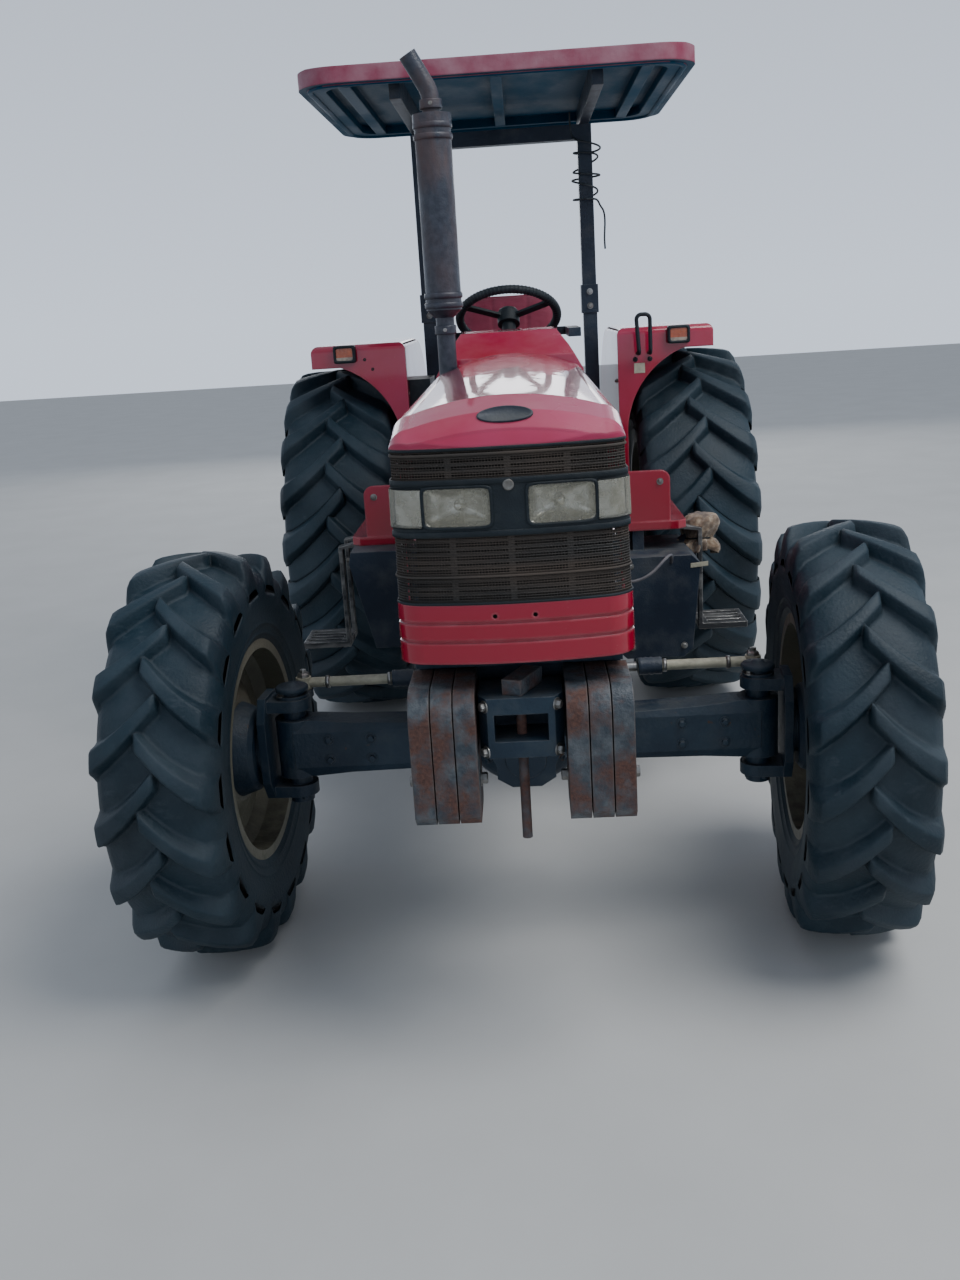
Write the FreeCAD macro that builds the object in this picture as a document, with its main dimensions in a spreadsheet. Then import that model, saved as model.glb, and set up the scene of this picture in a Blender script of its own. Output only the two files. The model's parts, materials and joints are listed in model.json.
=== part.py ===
"""Four-wheel-drive farm tractor with a roll bar, a sun roof and front weights.

Millimetres. The front faces -Y, +X is the tractor's left and +Z is up. The origin is on the ground, under
the middle of the whole machine. Every size is a named cell of the sheet, and the pieces are bound to it.
"""
import FreeCAD
import Part
import Sketcher
import math
import os
from types import SimpleNamespace

doc = FreeCAD.newDocument("farm_tractor")
sheet = doc.addObject("Spreadsheet::Sheet", "Sizes")

# name of the size, millimetres or degrees
SIZES = (
    # the whole machine: from the axles to its two ends, and the sheets and gaps used all over it
    ("front_overhang", 700),
    ("wheelbase", 2280),
    ("rear_overhang", 920),
    ("wall", 6),
    ("fit_gap", 0.3),
    # front wheels, measured to the tips of the lugs
    ("steer_angle", -4.6),
    ("front_track", 1793),
    ("front_tyre_radius", 580),
    ("front_tyre_width", 320),
    ("front_bead_radius", 305),
    ("front_rim_width", 270),
    ("front_lug_height", 35),
    ("front_disc_offset", -70),
    ("front_hub_radius", 120),
    ("hub_depth", 60),
    # rear wheels
    ("rear_track", 1491),
    ("rear_tyre_radius", 774),
    ("rear_tyre_width", 467),
    ("rear_bead_radius", 381),
    ("rear_rim_width", 400),
    ("rear_lug_height", 42),
    ("rear_disc_offset", -40),
    ("rear_hub_radius", 120),
    ("disc_thickness", 12),
    ("disc_dish", 45),
    ("bead_inset", 14),
    ("rim_flange", 20),
    ("rim_well", 30),
    ("lug_root", 60),
    ("lug_half_thickness", 27),
    ("lug_overlap", 22),
    ("lug_reach", 32),
    # front axle and steering
    ("kingpin_inset", 234),
    ("kingpin_radius", 34),
    ("ear_half_depth", 50),
    ("ear_thickness", 34),
    ("ear_gap", 22),
    ("knuckle_depth", 82),
    ("knuckle_back", 90),
    ("knuckle_web", 66),
    ("beam_rise", 10),
    ("beam_half_depth", 58),
    ("beam_half_height", 75),
    ("boss_radius", 56),
    ("boss_half_height", 84),
    ("pumpkin_radius", 136),
    ("trunnion_radius", 55),
    ("trunnion_half", 205),
    ("spindle_radius", 72),
    ("steering_arm", 130),
    ("eye_radius", 26),
    ("eye_thickness", 22),
    ("ball_radius", 23),
    ("ball_half_height", 18),
    ("tie_rod_radius", 15),
    ("boot_radius", 24),
    ("boot_length", 66),
    ("boot_gap", 6),
    ("cylinder_radius", 32),
    ("cylinder_inset", 472),
    ("piston_radius", 14),
    ("piston_inset", 340),
    # front frame, weights and their bracket
    ("pumpkin_gap", 44),
    ("frame_depth", 185),
    ("frame_rail_x", 150),
    ("frame_rail_width", 26),
    ("deck_half_width", 247),
    ("deck_thickness", 22),
    ("deck_front", 210),
    ("deck_back", 150),
    ("rail_lap", 190),
    ("hanger_thickness", 30),
    ("hanger_gap", 172),
    ("bar_half_width", 268),
    ("bar_thickness", 40),
    ("bar_height", 135),
    ("bar_back_gap", 25),
    ("weight_length", 175),
    ("weight_inner_x", 104),
    ("weight_pitch", 52),
    ("weight_thickness", 49),
    ("weight_drop", 150),
    ("weight_rise", 37),
    ("weight_hook", 62),
    ("jaw_half_width", 98),
    ("jaw_length", 145),
    ("jaw_pin_setback", 60),
    ("jaw_rise", 15),
    ("mouth_half_width", 62),
    ("tow_pin_radius", 12),
    ("tow_pin_length", 370),
    ("handle_turn", 25),
    # engine, gearbox and axle case
    ("shaft_radius", 28),
    ("shaft_drop", 48),
    ("shaft_gap", 5),
    ("engine_length", 700),
    ("engine_half_width", 135),
    ("engine_drop", 225),
    ("head_height", 150),
    ("bell_half_width", 200),
    ("bell_drop", 72),
    ("gearbox_half_width", 165),
    ("axle_case_front", 330),
    ("axle_case_rear", 215),
    ("axle_case_half", 205),
    ("axle_case_rise", 301),
    ("case_step", 30),
    ("pad_rise", 126),
    ("flange_inset", 55.5),
    ("trumpet_radius", 92),
    ("brake_radius", 190),
    # hood: its bands one above the other, from the valance's foot to the crown
    ("nose_reach", 675),
    ("hood_gap", 50),
    ("valance_height", 140),
    ("lower_grille_height", 155),
    ("lamp_panel_height", 120),
    ("upper_grille_height", 70),
    ("nose_height", 135),
    ("hood_half_width", 272),
    ("hood_corner", 60),
    ("band_reach", 215),
    ("groove_height", 7),
    ("grille_inset", 4),
    ("grille_edge", 6),
    ("web_x", 130),
    ("bar_pitch", 15),
    ("bar_gap", 9),
    ("louvre_pitch", 34),
    ("louvre_height", 14),
    ("louvre_length", 360),
    ("louvre_setback", 420),
    ("head_lamp_inner", 42),
    ("head_lamp_outer", 188),
    ("corner_lamp_inner", 194),
    ("lamp_sill", 20),
    ("lamp_head", 16),
    ("hinge_radius", 7),
    ("hinge_wall", 6),
    ("hinge_setback", 9),
    ("hinge_drop", 25),
    # radiator, exhaust
    ("radiator_half_width", 225),
    ("radiator_gap", 310),
    ("radiator_depth", 110),
    ("radiator_drop", 155),
    ("exhaust_x", -200),
    ("exhaust_gap", 105),
    ("exhaust_pipe_radius", 30),
    ("muffler_radius", 57.5),
    ("muffler_rise", 152),
    ("muffler_length", 568),
    ("tail_pipe_radius", 28),
    ("tail_pipe_wall", 3),
    # cowl and steering wheel
    ("cowl_gap", 25),
    ("cowl_setback", 10),
    ("cowl_length", 420),
    ("cowl_rise", 70),
    ("cowl_half_width", 250),
    ("wheel_tilt", 33),
    ("wheel_reach", 150),
    ("wheel_rise", 40),
    ("steering_wheel_radius", 200),
    ("wheel_rim_radius", 15),
    ("column_radius", 26),
    ("column_length", 360),
    # platform, side boxes and steps
    ("cab_reach", 1360),
    ("floor_high", 1020),
    ("floor_thickness", 30),
    ("floor_half_width", 590),
    ("floor_edge", 28),
    ("tyre_gap", 20),
    ("splash_height", 180),
    ("box_inner_x", 340),
    ("battery_outer_x", 590),
    ("battery_height", 345),
    ("battery_taper", 72),
    ("tank_outer_x", 620),
    ("tank_height", 360),
    ("tank_taper", 30),
    ("box_length", 390),
    ("box_lead", 120),
    ("battery_length", 180),
    ("strap_drop", 70),
    ("neck_setback", 280),
    ("neck_radius", 28),
    ("step_inner_x", 640),
    ("step_outer_x", 815),
    ("step_length", 190),
    ("step_setback", 80),
    ("step_drop", 390),
    ("step_thickness", 22),
    # fenders
    ("fender_side_gap", 44),
    ("fender_leg", 36),
    ("fender_width", 388),
    ("fender_gap", 122),
    ("fender_reach", 500),
    ("fender_corner", 30),
    ("fender_lip", 45),
    ("fender_lamp_inner", 208),
    ("fender_lamp_outer", 283),
    ("handle_radius", 8),
    ("arch_drop", 333),
    # seat
    ("seat_half_width", 235),
    ("seat_reach", 600),
    ("seat_length", 450),
    ("seat_rise", 320),
    ("cushion_height", 100),
    ("seat_corner", 60),
    ("seat_back_height", 485),
    ("pad_thickness", 95),
    ("arm_rest_rise", 250),
    # roll bar and roof
    ("post_inset", 77),
    ("post_size", 60),
    ("post_drop", 45),
    ("roof_rise", 1150),
    ("roof_thickness", 75),
    ("roof_front", 1100),
    ("roof_rear", 300),
    ("roof_half_width", 695),
    ("roof_corner", 150),
    ("roof_crown", 22),
    ("roof_rim", 90),
    ("roof_recess", 34),
    # rear hitch, drawbar and power take-off
    ("link_spread", 412),
    ("link_front_x", 230),
    ("link_setback", 60),
    ("link_rise", 70),
    ("link_drop", 90),
    ("link_eye_radius", 36),
    ("link_bore_radius", 14.35),
    ("link_pin_radius", 13),
    ("lift_shaft_setback", 130),
    ("lift_shaft_drop", 65),
    ("lift_shaft_radius", 38),
    ("lift_arm_length", 250),
    ("lift_arm_x", 320),
    ("lift_arm_angle", 5),
    ("lift_rod_reach", 412),
    ("lift_pin_radius", 12),
    ("fork_inner", 18),
    ("top_link_pin_radius", 12.85),
    ("top_link_drop", 145),
    ("top_link_setback", 34),
    ("drawbar_width", 70),
    ("drawbar_thickness", 30),
    ("drawbar_drop", 115),
    ("drawbar_reach", 480),
    ("drawbar_eye", 40),
    ("drawbar_bore_radius", 15),
    ("pto_radius", 17.5),
    ("pto_length", 80),
    ("pto_rise", 140),
)


class Size:
    """A length held both as a number and as the words that bind it to the sheet."""

    def __init__(self, number, text):
        self.number = float(number)
        self.text = text

    def __add__(self, other):
        other = known(other)
        return Size(self.number + other.number, "(%s + %s)" % (self.text, other.text))

    def __sub__(self, other):
        other = known(other)
        return Size(self.number - other.number, "(%s - %s)" % (self.text, other.text))

    def __mul__(self, other):
        other = known(other)
        return Size(self.number * other.number, "(%s * %s)" % (self.text, other.text))

    def __truediv__(self, other):
        other = known(other)
        return Size(self.number / other.number, "(%s / %s)" % (self.text, other.text))

    def __radd__(self, other):
        return known(other) + self

    def __rsub__(self, other):
        return known(other) - self

    def __rmul__(self, other):
        return known(other) * self

    def __neg__(self):
        return known(0) - self


def known(value):
    """Any number as a Size."""
    return value if isinstance(value, Size) else Size(value, repr(float(value)))


def n(value):
    """The number of a size."""
    return known(value).number


for row, (alias, value) in enumerate(SIZES, 1):
    sheet.set("A%d" % row, alias)
    sheet.set("B%d" % row, str(value))
    sheet.setAlias("B%d" % row, alias)
doc.recompute()
s = SimpleNamespace(**{alias: Size(value, "Sizes." + alias) for alias, value in SIZES})

# Places along the tractor that several pieces share.
front_y = (s.front_overhang - s.wheelbase - s.rear_overhang) / 2
rear_y = front_y + s.wheelbase
rear_end = rear_y + s.rear_overhang
floor_front = rear_y - s.cab_reach
engine_back = floor_front
engine_front = engine_back - s.engine_length
gear_y = rear_y - s.axle_case_front
cowl_front = floor_front - s.cowl_setback
hood_back = cowl_front - s.cowl_gap
hood_front = front_y - s.nose_reach
radiator_y = front_y - s.radiator_gap
bar_front = front_y - s.front_overhang + s.weight_length
bar_back = bar_front + s.bar_thickness
frame_front = bar_back + s.bar_back_gap
case_back = rear_y + s.axle_case_rear
fender_front = rear_y - s.fender_reach

# Places across it.
kingpin_x = s.front_track / 2 - s.kingpin_inset
rail_in = s.frame_rail_x - s.frame_rail_width
fender_in = s.rear_track / 2 - s.rear_tyre_width / 2 - s.fender_side_gap - s.fender_leg
fender_out = fender_in + s.fender_width
post_x = fender_in - s.post_inset
flange_x = s.rear_track / 2 - s.flange_inset

# Heights, each from the one below it.
beam_z = s.front_tyre_radius + s.beam_rise
shaft_z = beam_z - s.shaft_drop
sump_z = shaft_z + s.shaft_radius + s.shaft_gap
gearbox_low = shaft_z - s.bell_drop
case_low = gearbox_low + s.case_step
frame_low = beam_z + s.pumpkin_radius + s.pumpkin_gap
frame_high = frame_low + s.frame_depth
bar_high = frame_low + s.bar_height
hood_low = frame_high + s.hood_gap
grille_low = hood_low + s.valance_height
lamp_low = grille_low + s.lower_grille_height
lamp_high = lamp_low + s.lamp_panel_height
grille_high = lamp_high + s.upper_grille_height
crown_z = grille_high + s.nose_height
engine_top = crown_z - s.engine_drop
cowl_high = crown_z + s.cowl_rise
hinge_z = crown_z - s.hinge_drop
arm_top = beam_z + s.boss_half_height + s.ear_gap + s.eye_thickness
steering_z = arm_top + s.fit_gap + s.ball_half_height
under_floor = s.floor_high - s.floor_thickness - s.fit_gap
case_high = s.rear_tyre_radius + s.axle_case_rise
seat_high = case_high + s.seat_rise
roof_low = seat_high + s.roof_rise
post_high = roof_low - s.post_drop
fender_radius = s.rear_tyre_radius + s.fender_gap
# The fender's arc leaves its flat top at 82.3 degrees above the level.
fender_high = s.rear_tyre_radius + fender_radius * 0.991

nodes = {}


def bind(item, name, size):
    """Tie one property to the sheet."""
    item.setExpression(name, known(size).text)


def place(item, x=0, y=0, z=0, axis=(0, 0, 1), angle=0):
    """Put an object at a place bound to the sheet, turned about an axis."""
    item.Placement = FreeCAD.Placement(FreeCAD.Vector(n(x), n(y), n(z)),
                                       FreeCAD.Rotation(FreeCAD.Vector(*axis), n(angle)))
    for letter, size in zip("xyz", (x, y, z)):
        bind(item, "Placement.Base." + letter, size)
    return item


def ordered(pair):
    """Two places along an axis, the lower one first."""
    low, high = known(pair[0]), known(pair[1])
    return (low, high) if low.number <= high.number else (high, low)


def block(name, x, y, z):
    """A box between two places along each axis."""
    made = doc.addObject("Part::Box", name)
    spans = [ordered(x), ordered(y), ordered(z)]
    for side, (low, high) in zip(("Length", "Width", "Height"), spans):
        bind(made, side, high - low)
    return place(made, spans[0][0], spans[1][0], spans[2][0])


TURN = {"x": ((0, 1, 0), 90), "y": ((1, 0, 0), -90), "z": ((0, 0, 1), 0)}


def rod(name, axis, span, across, radius, radius_end=None):
    """A round bar, or a cone if it has a second radius, between two places along an axis."""
    low, high = known(span[0]), known(span[1])
    first, second = radius, radius_end
    if low.number > high.number:
        low, high = high, low
        first, second = (radius_end, radius) if radius_end is not None else (radius, None)
    if second is None:
        made = doc.addObject("Part::Cylinder", name)
        bind(made, "Radius", first)
    else:
        made = doc.addObject("Part::Cone", name)
        bind(made, "Radius1", first)
        bind(made, "Radius2", second)
    bind(made, "Height", high - low)
    where = {"x": (low, across[0], across[1]), "y": (across[0], low, across[1]),
             "z": (across[0], across[1], low)}[axis]
    return place(made, *where, *TURN[axis])


class Via(tuple):
    """A point that an outline's arc passes through on its way to the next corner."""


def drawn(sketch, outline):
    """Draw a closed outline of lines and arcs whose points are all bound to the sheet."""
    corners = [point for point in outline if not isinstance(point, Via)]
    bends = {}
    count = -1
    for point in outline:
        if isinstance(point, Via):
            bends[count] = point
        else:
            count += 1
    flat = [FreeCAD.Vector(n(u), n(v), 0) for u, v in corners]
    ends = []
    for i, start in enumerate(flat):
        stop = flat[(i + 1) % len(flat)]
        if i in bends:
            middle = FreeCAD.Vector(n(bends[i][0]), n(bends[i][1]), 0)
            arc = Part.Arc(start, middle, stop)
            sketch.addGeometry(arc, False)
            forward = (middle - start).cross(stop - start).z > 0
            ends.append((1, 2) if forward else (2, 1))
        else:
            sketch.addGeometry(Part.LineSegment(start, stop), False)
            ends.append((1, 2))
    for i in range(len(flat)):
        after = (i + 1) % len(flat)
        sketch.addConstraint(Sketcher.Constraint("Coincident", i, ends[i][1], after, ends[after][0]))

    def pin(geometry, end, point):
        for kind, size in zip(("DistanceX", "DistanceY"), point):
            made = sketch.addConstraint(Sketcher.Constraint(kind, -1, 1, geometry, end, n(size)))
            bind(sketch, "Constraints[%d]" % made, size)

    for i, point in enumerate(corners):
        pin(i, ends[i][0], point)
    for i, point in bends.items():
        mark = sketch.addGeometry(Part.Point(FreeCAD.Vector(n(point[0]), n(point[1]), 0)), True)
        sketch.addConstraint(Sketcher.Constraint("PointOnObject", mark, 1, i))
        pin(mark, 1, point)
    return sketch


PLANES = {"xy": "XY_Plane", "xz": "XZ_Plane", "yz": "YZ_Plane"}


def body_sketch(name, plane, outline, offset=0):
    """A body with one outline on an origin plane."""
    body = doc.addObject("PartDesign::Body", name)
    sketch = body.newObject("Sketcher::SketchObject", name + "_outline")
    support = next(item for item in body.Origin.OriginFeatures if item.Role == PLANES[plane])
    sketch.AttachmentSupport = (support, [""])
    sketch.MapMode = "FlatFace"
    bind(sketch, "AttachmentOffset.Base.z", offset)
    drawn(sketch, outline)
    return body, sketch


def prism(name, plane, outline, span):
    """An outline on an origin plane, padded between two places along the third axis."""
    low, high = ordered(span)
    body, sketch = body_sketch(name, plane, outline, -high if plane == "xz" else low)
    pad = body.newObject("PartDesign::Pad", name + "_pad")
    pad.Profile = sketch
    bind(pad, "Length", high - low)
    return body


def turned(name, axis, outline):
    """An outline of (place along the axis, radius) turned about X, Y or Z."""
    plane = {"x": "xz", "y": "yz", "z": "xz"}[axis]
    if axis == "z":
        outline = [type(point)((point[1], point[0])) for point in outline]
    body, sketch = body_sketch(name, plane, outline)
    turn = body.newObject("PartDesign::Revolution", name + "_turn")
    turn.Profile = sketch
    turn.ReferenceAxis = (sketch, ["V_Axis" if axis == "z" else "H_Axis"])
    turn.Angle = 360
    return body


def fuse(name, parts):
    """Pieces joined into one."""
    if len(parts) == 1:
        return parts[0]
    made = doc.addObject("Part::MultiFuse", name)
    made.Shapes = parts
    made.Refine = True
    return made


def cut(name, base, tools):
    """A piece with others taken out of it."""
    made = doc.addObject("Part::Cut", name)
    made.Base = base
    made.Tool = fuse(name + "_tools", tools)
    made.Refine = True
    return made


def common(name, parts):
    """What two or more pieces share."""
    made = doc.addObject("Part::MultiCommon", name)
    made.Shapes = parts
    made.Refine = True
    return made


def group(name, parts):
    """Separate like pieces kept under one name."""
    made = doc.addObject("Part::Compound", name)
    made.Links = parts
    return made


def bent_bar(name, points, radius, bend):
    """A round bar along straight runs joined by arcs of one radius."""
    line = [FreeCAD.Vector(*(n(value) for value in point)) for point in points]
    edges = []
    start = line[0]
    for before, corner, after in zip(line, line[1:], line[2:]):
        into = (corner - before).normalize()
        out = (after - corner).normalize()
        turn = into.getAngle(out)
        back = n(bend) * math.tan(turn / 2)
        first = corner - into * back
        last = corner + out * back
        middle_way = (out - into).normalize()
        centre = corner + middle_way * (n(bend) / math.cos(turn / 2))
        edges.append(Part.LineSegment(start, first).toShape())
        edges.append(Part.Arc(first, centre - middle_way * n(bend), last).toShape())
        start = last
    edges.append(Part.LineSegment(start, line[-1]).toShape())
    path = Part.Wire(edges)
    ring = Part.Wire(Part.Circle(line[0], line[1] - line[0], n(radius)).toShape())
    made = doc.addObject("Part::Feature", name)
    made.Shape = path.makePipeShell([ring], True, False)
    return made


def node(name, item):
    """Name a finished piece: its label is the name of its file."""
    item.Label = name
    nodes[name] = item
    return item


def both(make):
    """Make a piece for the tractor's left and for its right."""
    for side, name in ((1, "left"), (-1, "right")):
        make(side, name)


LUG_COUNTS = {"front": 18, "rear": 21}
LUG_LEAN = 0.88
SHOULDER_LEAN = 0.45


def lug_row(body, name, side, tread_half, crown, tip, count, shift):
    """One row of lugs: a bent bar in plan, padded out from the casing and repeated round the axle."""
    sketch = body.newObject("Sketcher::SketchObject", name + "_plan")
    support = next(item for item in body.Origin.OriginFeatures if item.Role == PLANES["xy"])
    sketch.AttachmentSupport = (support, [""])
    sketch.MapMode = "FlatFace"
    root = crown - s.lug_root
    turn = FreeCAD.Rotation(FreeCAD.Vector(1, 0, 0), shift)
    sketch.AttachmentOffset = FreeCAD.Placement(turn.multVec(FreeCAD.Vector(0, 0, n(root))), turn)
    knee = tread_half * 0.62
    end = tread_half + s.lug_reach
    fall = (knee + s.lug_overlap) * LUG_LEAN
    centre_line = [(-s.lug_overlap, known(0)), (knee, fall), (end, fall + (end - knee) * SHOULDER_LEAN)]
    middle = fall / 2
    near = [(x * side, middle - y - s.lug_half_thickness) for x, y in centre_line]
    far = [(x * side, middle - y + s.lug_half_thickness) for x, y in reversed(centre_line)]
    drawn(sketch, near + far)
    pad = body.newObject("PartDesign::Pad", name + "_pad")
    pad.Profile = sketch
    bind(pad, "Length", tip - root + s.lug_root / 6)
    pad.TaperAngle = -6
    doc.recompute()
    ring = body.newObject("PartDesign::PolarPattern", name + "_ring")
    ring.Originals = [pad]
    ring.Axis = (next(item for item in body.Origin.OriginFeatures if item.Role == "X_Axis"), [""])
    ring.Angle = 360
    ring.Occurrences = count
    body.Tip = ring


# Tyres: a casing turned about the axle with two staggered rows of slanting lugs, whose tips meet the ground.
def lugged_tyre(end, radius, width, bead, rim_width, lug_height):
    half = width / 2
    seat = rim_width / 2 - s.bead_inset - s.fit_gap
    foot = bead + s.fit_gap
    crown = radius - lug_height
    tread = half * 0.88
    bulge = (crown + bead) / 2 + 10
    casing = turned(end + "_tyre_casing", "x", [
        (-seat, foot), (-seat, bead + 24), Via((-half, bulge)), (-tread, crown - 30), (-tread / 2, crown - 4),
        (tread / 2, crown - 4), (tread, crown - 30), Via((half, bulge)), (seat, bead + 24), (seat, foot)])
    doc.recompute()
    count = LUG_COUNTS[end]
    for side in (1, -1):
        lug_row(casing, "%s_lugs_%d" % (end, side + 1), side, tread, crown, radius, count,
                0 if side > 0 else 180 / count)
    mould = turned(end + "_tyre_mould", "x", [
        (-half, bead - 10), (-half, crown - 40), (-tread, radius - 26), (half * -0.5, radius - 3),
        (known(0), radius), (half * 0.5, radius - 3), (tread, radius - 26), (half, crown - 40),
        (half, bead - 10)])
    return common(end + "_tyre_moulded", [casing, mould])


tyres = {
    "front": lugged_tyre("front", s.front_tyre_radius, s.front_tyre_width, s.front_bead_radius,
                         s.front_rim_width, s.front_lug_height),
    "rear": lugged_tyre("rear", s.rear_tyre_radius, s.rear_tyre_width, s.rear_bead_radius,
                        s.rear_rim_width, s.rear_lug_height),
}


# Rims: a rolled barrel with a dished disc inside it, bolted to the hub.
def rim_outline(bead, rim_width):
    half = rim_width / 2
    edge = bead + s.rim_flange
    inside = bead - s.disc_thickness
    return [(-half, edge), (-half + 12, edge), (-half + s.bead_inset, bead), (-half + 60, bead),
            (-half + 90, bead - s.rim_well), (half - 90, bead - s.rim_well), (half - 60, bead),
            (half - s.bead_inset, bead), (half - 12, edge), (half, edge), (half, inside), (half - 66, inside),
            (half - 96, inside - s.rim_well + 2), (-half + 96, inside - s.rim_well + 2), (-half + 66, inside),
            (-half, inside)]


def wheel(side, name, end, track, radius, bead, rim_width, disc_offset, hub_radius, y):
    """One wheel: a tyre and a rim with its disc, placed at its axle end."""
    tyre = group("%s_tyre_%s_fitted" % (end, name), [tyres[end]])
    barrel = turned("%s_rim_%s_barrel" % (end, name), "x", rim_outline(bead, rim_width))
    disc = side * disc_offset
    back = disc + side * s.disc_thickness
    rise = disc + side * (s.disc_dish - s.disc_thickness)
    top = disc + side * s.disc_dish
    outer = turned("%s_rim_%s_disc" % (end, name), "x", [
        (disc, hub_radius * 0.45), (back, hub_radius * 0.45), (back, hub_radius * 1.25), (top, bead - 90),
        (top, bead - 35), (rise, bead - 35), (rise, bead - 88), (disc, hub_radius * 1.25)])
    rim = fuse("%s_rim_%s_whole" % (end, name), [barrel, outer])
    for item in (tyre, rim):
        place(item, side * track / 2, y, radius)
    return node("%s_tyre_%s" % (end, name), tyre), node("%s_rim_%s" % (end, name), rim)


def steered(item, side):
    """Turn a piece that stands in its straight-ahead place about its kingpin."""
    pivot = FreeCAD.Vector(n(side * kingpin_x), n(front_y), 0)
    turn = FreeCAD.Placement(FreeCAD.Vector(), FreeCAD.Rotation(FreeCAD.Vector(0, 0, 1),
        n(s.steer_angle)), pivot)
    for letter in "xyz":
        item.setExpression("Placement.Base." + letter, None)
    item.Placement = turn.multiply(item.Placement)
    return item


def wheels(side, name):
    for item in wheel(side, name, "front", s.front_track, s.front_tyre_radius, s.front_bead_radius,
                      s.front_rim_width, s.front_disc_offset, s.front_hub_radius, front_y):
        steered(item, side)
    wheel(side, name, "rear", s.rear_track, s.rear_tyre_radius, s.rear_bead_radius, s.rear_rim_width,
          s.rear_disc_offset, s.rear_hub_radius, rear_y)


both(wheels)


# Front hubs: the reduction gear's round case, which turns with the wheel, and its cap.
def front_hub(side, name):
    disc = side * (s.front_track / 2 + s.front_disc_offset)
    centre_hole = s.front_hub_radius * 0.45 - s.fit_gap
    hub = turned("front_hub_%s" % name, "x", [
        (disc - side * s.hub_depth, 0), (disc - side * s.hub_depth, s.front_hub_radius - 14),
        (disc - side * (s.hub_depth - 12), s.front_hub_radius),
        (disc - side * s.fit_gap, s.front_hub_radius + 18),
        (disc - side * s.fit_gap, centre_hole), (disc + side * 70, centre_hole), (disc + side * 84, 36),
        (disc + side * 84, 0)])
    place(hub, 0, front_y, s.front_tyre_radius)
    steered(node("front_hub_%s" % name, hub), side)


both(front_hub)


# Knuckles: a forged C whose round ears hold the kingpins above and below the beam's end.
def knuckle(side, name):
    hub_face = side * (s.front_track / 2 + s.front_disc_offset - s.hub_depth - s.fit_gap)
    back = side * (kingpin_x + s.knuckle_back)
    web = side * (kingpin_x + s.knuckle_web)
    ear = s.boss_half_height + s.ear_gap + 6
    ear_end = ear + s.ear_thickness
    pivot = (side * kingpin_x, front_y)
    arm_back = front_y + s.steering_arm
    parts = [
        prism("knuckle_%s_plate" % name, "yz", [
            (front_y - s.knuckle_depth, beam_z - 90), (front_y - s.ear_half_depth, beam_z - ear_end),
            (front_y + s.ear_half_depth, beam_z - ear_end), (front_y + s.knuckle_depth, beam_z - 90),
            (front_y + s.knuckle_depth, beam_z + 90), (front_y + s.ear_half_depth, beam_z + ear_end + 10),
            (front_y - s.ear_half_depth, beam_z + ear_end + 10), (front_y - s.knuckle_depth, beam_z + 90)],
            (web, back)),
        rod("knuckle_%s_pin_top" % name, "z", (beam_z + 50, beam_z + ear_end + 22), pivot, s.kingpin_radius),
        rod("knuckle_%s_pin_foot" % name, "z", (beam_z - ear_end - 22, beam_z - 50), pivot, s.kingpin_radius),
        rod("knuckle_%s_cap" % name, "z", (beam_z + ear_end - 2, beam_z + ear_end + 10), pivot,
            s.kingpin_radius + 10),
        rod("knuckle_%s_spindle" % name, "x", (back - side * 4, hub_face), (front_y, s.front_tyre_radius),
            s.spindle_radius),
        rod("knuckle_%s_flange" % name, "x", (back - side * 4, back + side * 6),
            (front_y, s.front_tyre_radius),
            s.spindle_radius + 8),
        prism("knuckle_%s_arm" % name, "xy", [
            (side * (kingpin_x - 30), front_y + 30), (side * (kingpin_x + 44), front_y + 30),
            (side * (kingpin_x + s.eye_radius - 4), arm_back),
            (side * (kingpin_x - s.eye_radius + 4), arm_back)],
            (arm_top - s.eye_thickness, arm_top)),
        rod("knuckle_%s_eye" % name, "z", (arm_top - s.eye_thickness, arm_top), (side * kingpin_x, arm_back),
            s.eye_radius),
    ]
    for end, word in ((1, "top"), (-1, "foot")):
        span = (beam_z + end * ear, beam_z + end * ear_end)
        parts.append(rod("knuckle_%s_ear_%s" % (name, word), "z", span, pivot, s.ear_half_depth))
        parts.append(block("knuckle_%s_neck_%s" % (name, word), (side * kingpin_x, back),
                           (front_y - s.ear_half_depth, front_y + s.ear_half_depth), span))
    steered(node("knuckle_%s" % name, fuse("knuckle_%s_whole" % name, parts)), side)


both(knuckle)

# Front axle beam: a cast housing with the differential's round bulge and a boss at each kingpin.
bulge = s.pumpkin_radius
deep = s.beam_half_depth
high = s.boss_half_height
beam_parts = [
    turned("beam_bulge", "x", [(-bulge * 1.1, 0), (-bulge * 1.1, 62), Via((-bulge * 0.72, bulge * 0.82)),
                               (known(0), bulge), Via((bulge * 0.72, bulge * 0.82)), (bulge * 1.1, 62),
                               (bulge * 1.1, 0)]),
    rod("beam_trunnion", "y", (-s.trunnion_half, s.trunnion_half), (0, 0), s.trunnion_radius),
]
arms = []
for side in (1, -1):
    arms.append(prism("beam_arm_%d" % (side + 1), "xz", [
        (side * 90, -66), (side * (kingpin_x - 162), -s.beam_half_height), (side * (kingpin_x - 60), -high),
        (side * kingpin_x, -high), (side * kingpin_x, high), (side * (kingpin_x - 60), high),
        (side * (kingpin_x - 162), s.beam_half_height), (side * 90, 60)], (-deep, deep)))
    beam_parts.append(rod("beam_boss_%d" % (side + 1), "z", (-high - 2, high + 2), (side * kingpin_x, 0),
                          s.boss_radius))
beam_section = prism("beam_section", "yz", [
    (-deep, -high * 0.62), (-deep * 0.7, -high), (deep * 0.7, -high), (deep, -high * 0.62),
    (deep, high * 0.62), (deep * 0.7, high), (-deep * 0.7, high), (-deep, high * 0.62)],
    (-kingpin_x - 10, kingpin_x + 10))
beam = fuse("front_axle_beam_cast", beam_parts + [common("beam_arms",
    [group("beam_arm_pair", arms), beam_section])])
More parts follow.
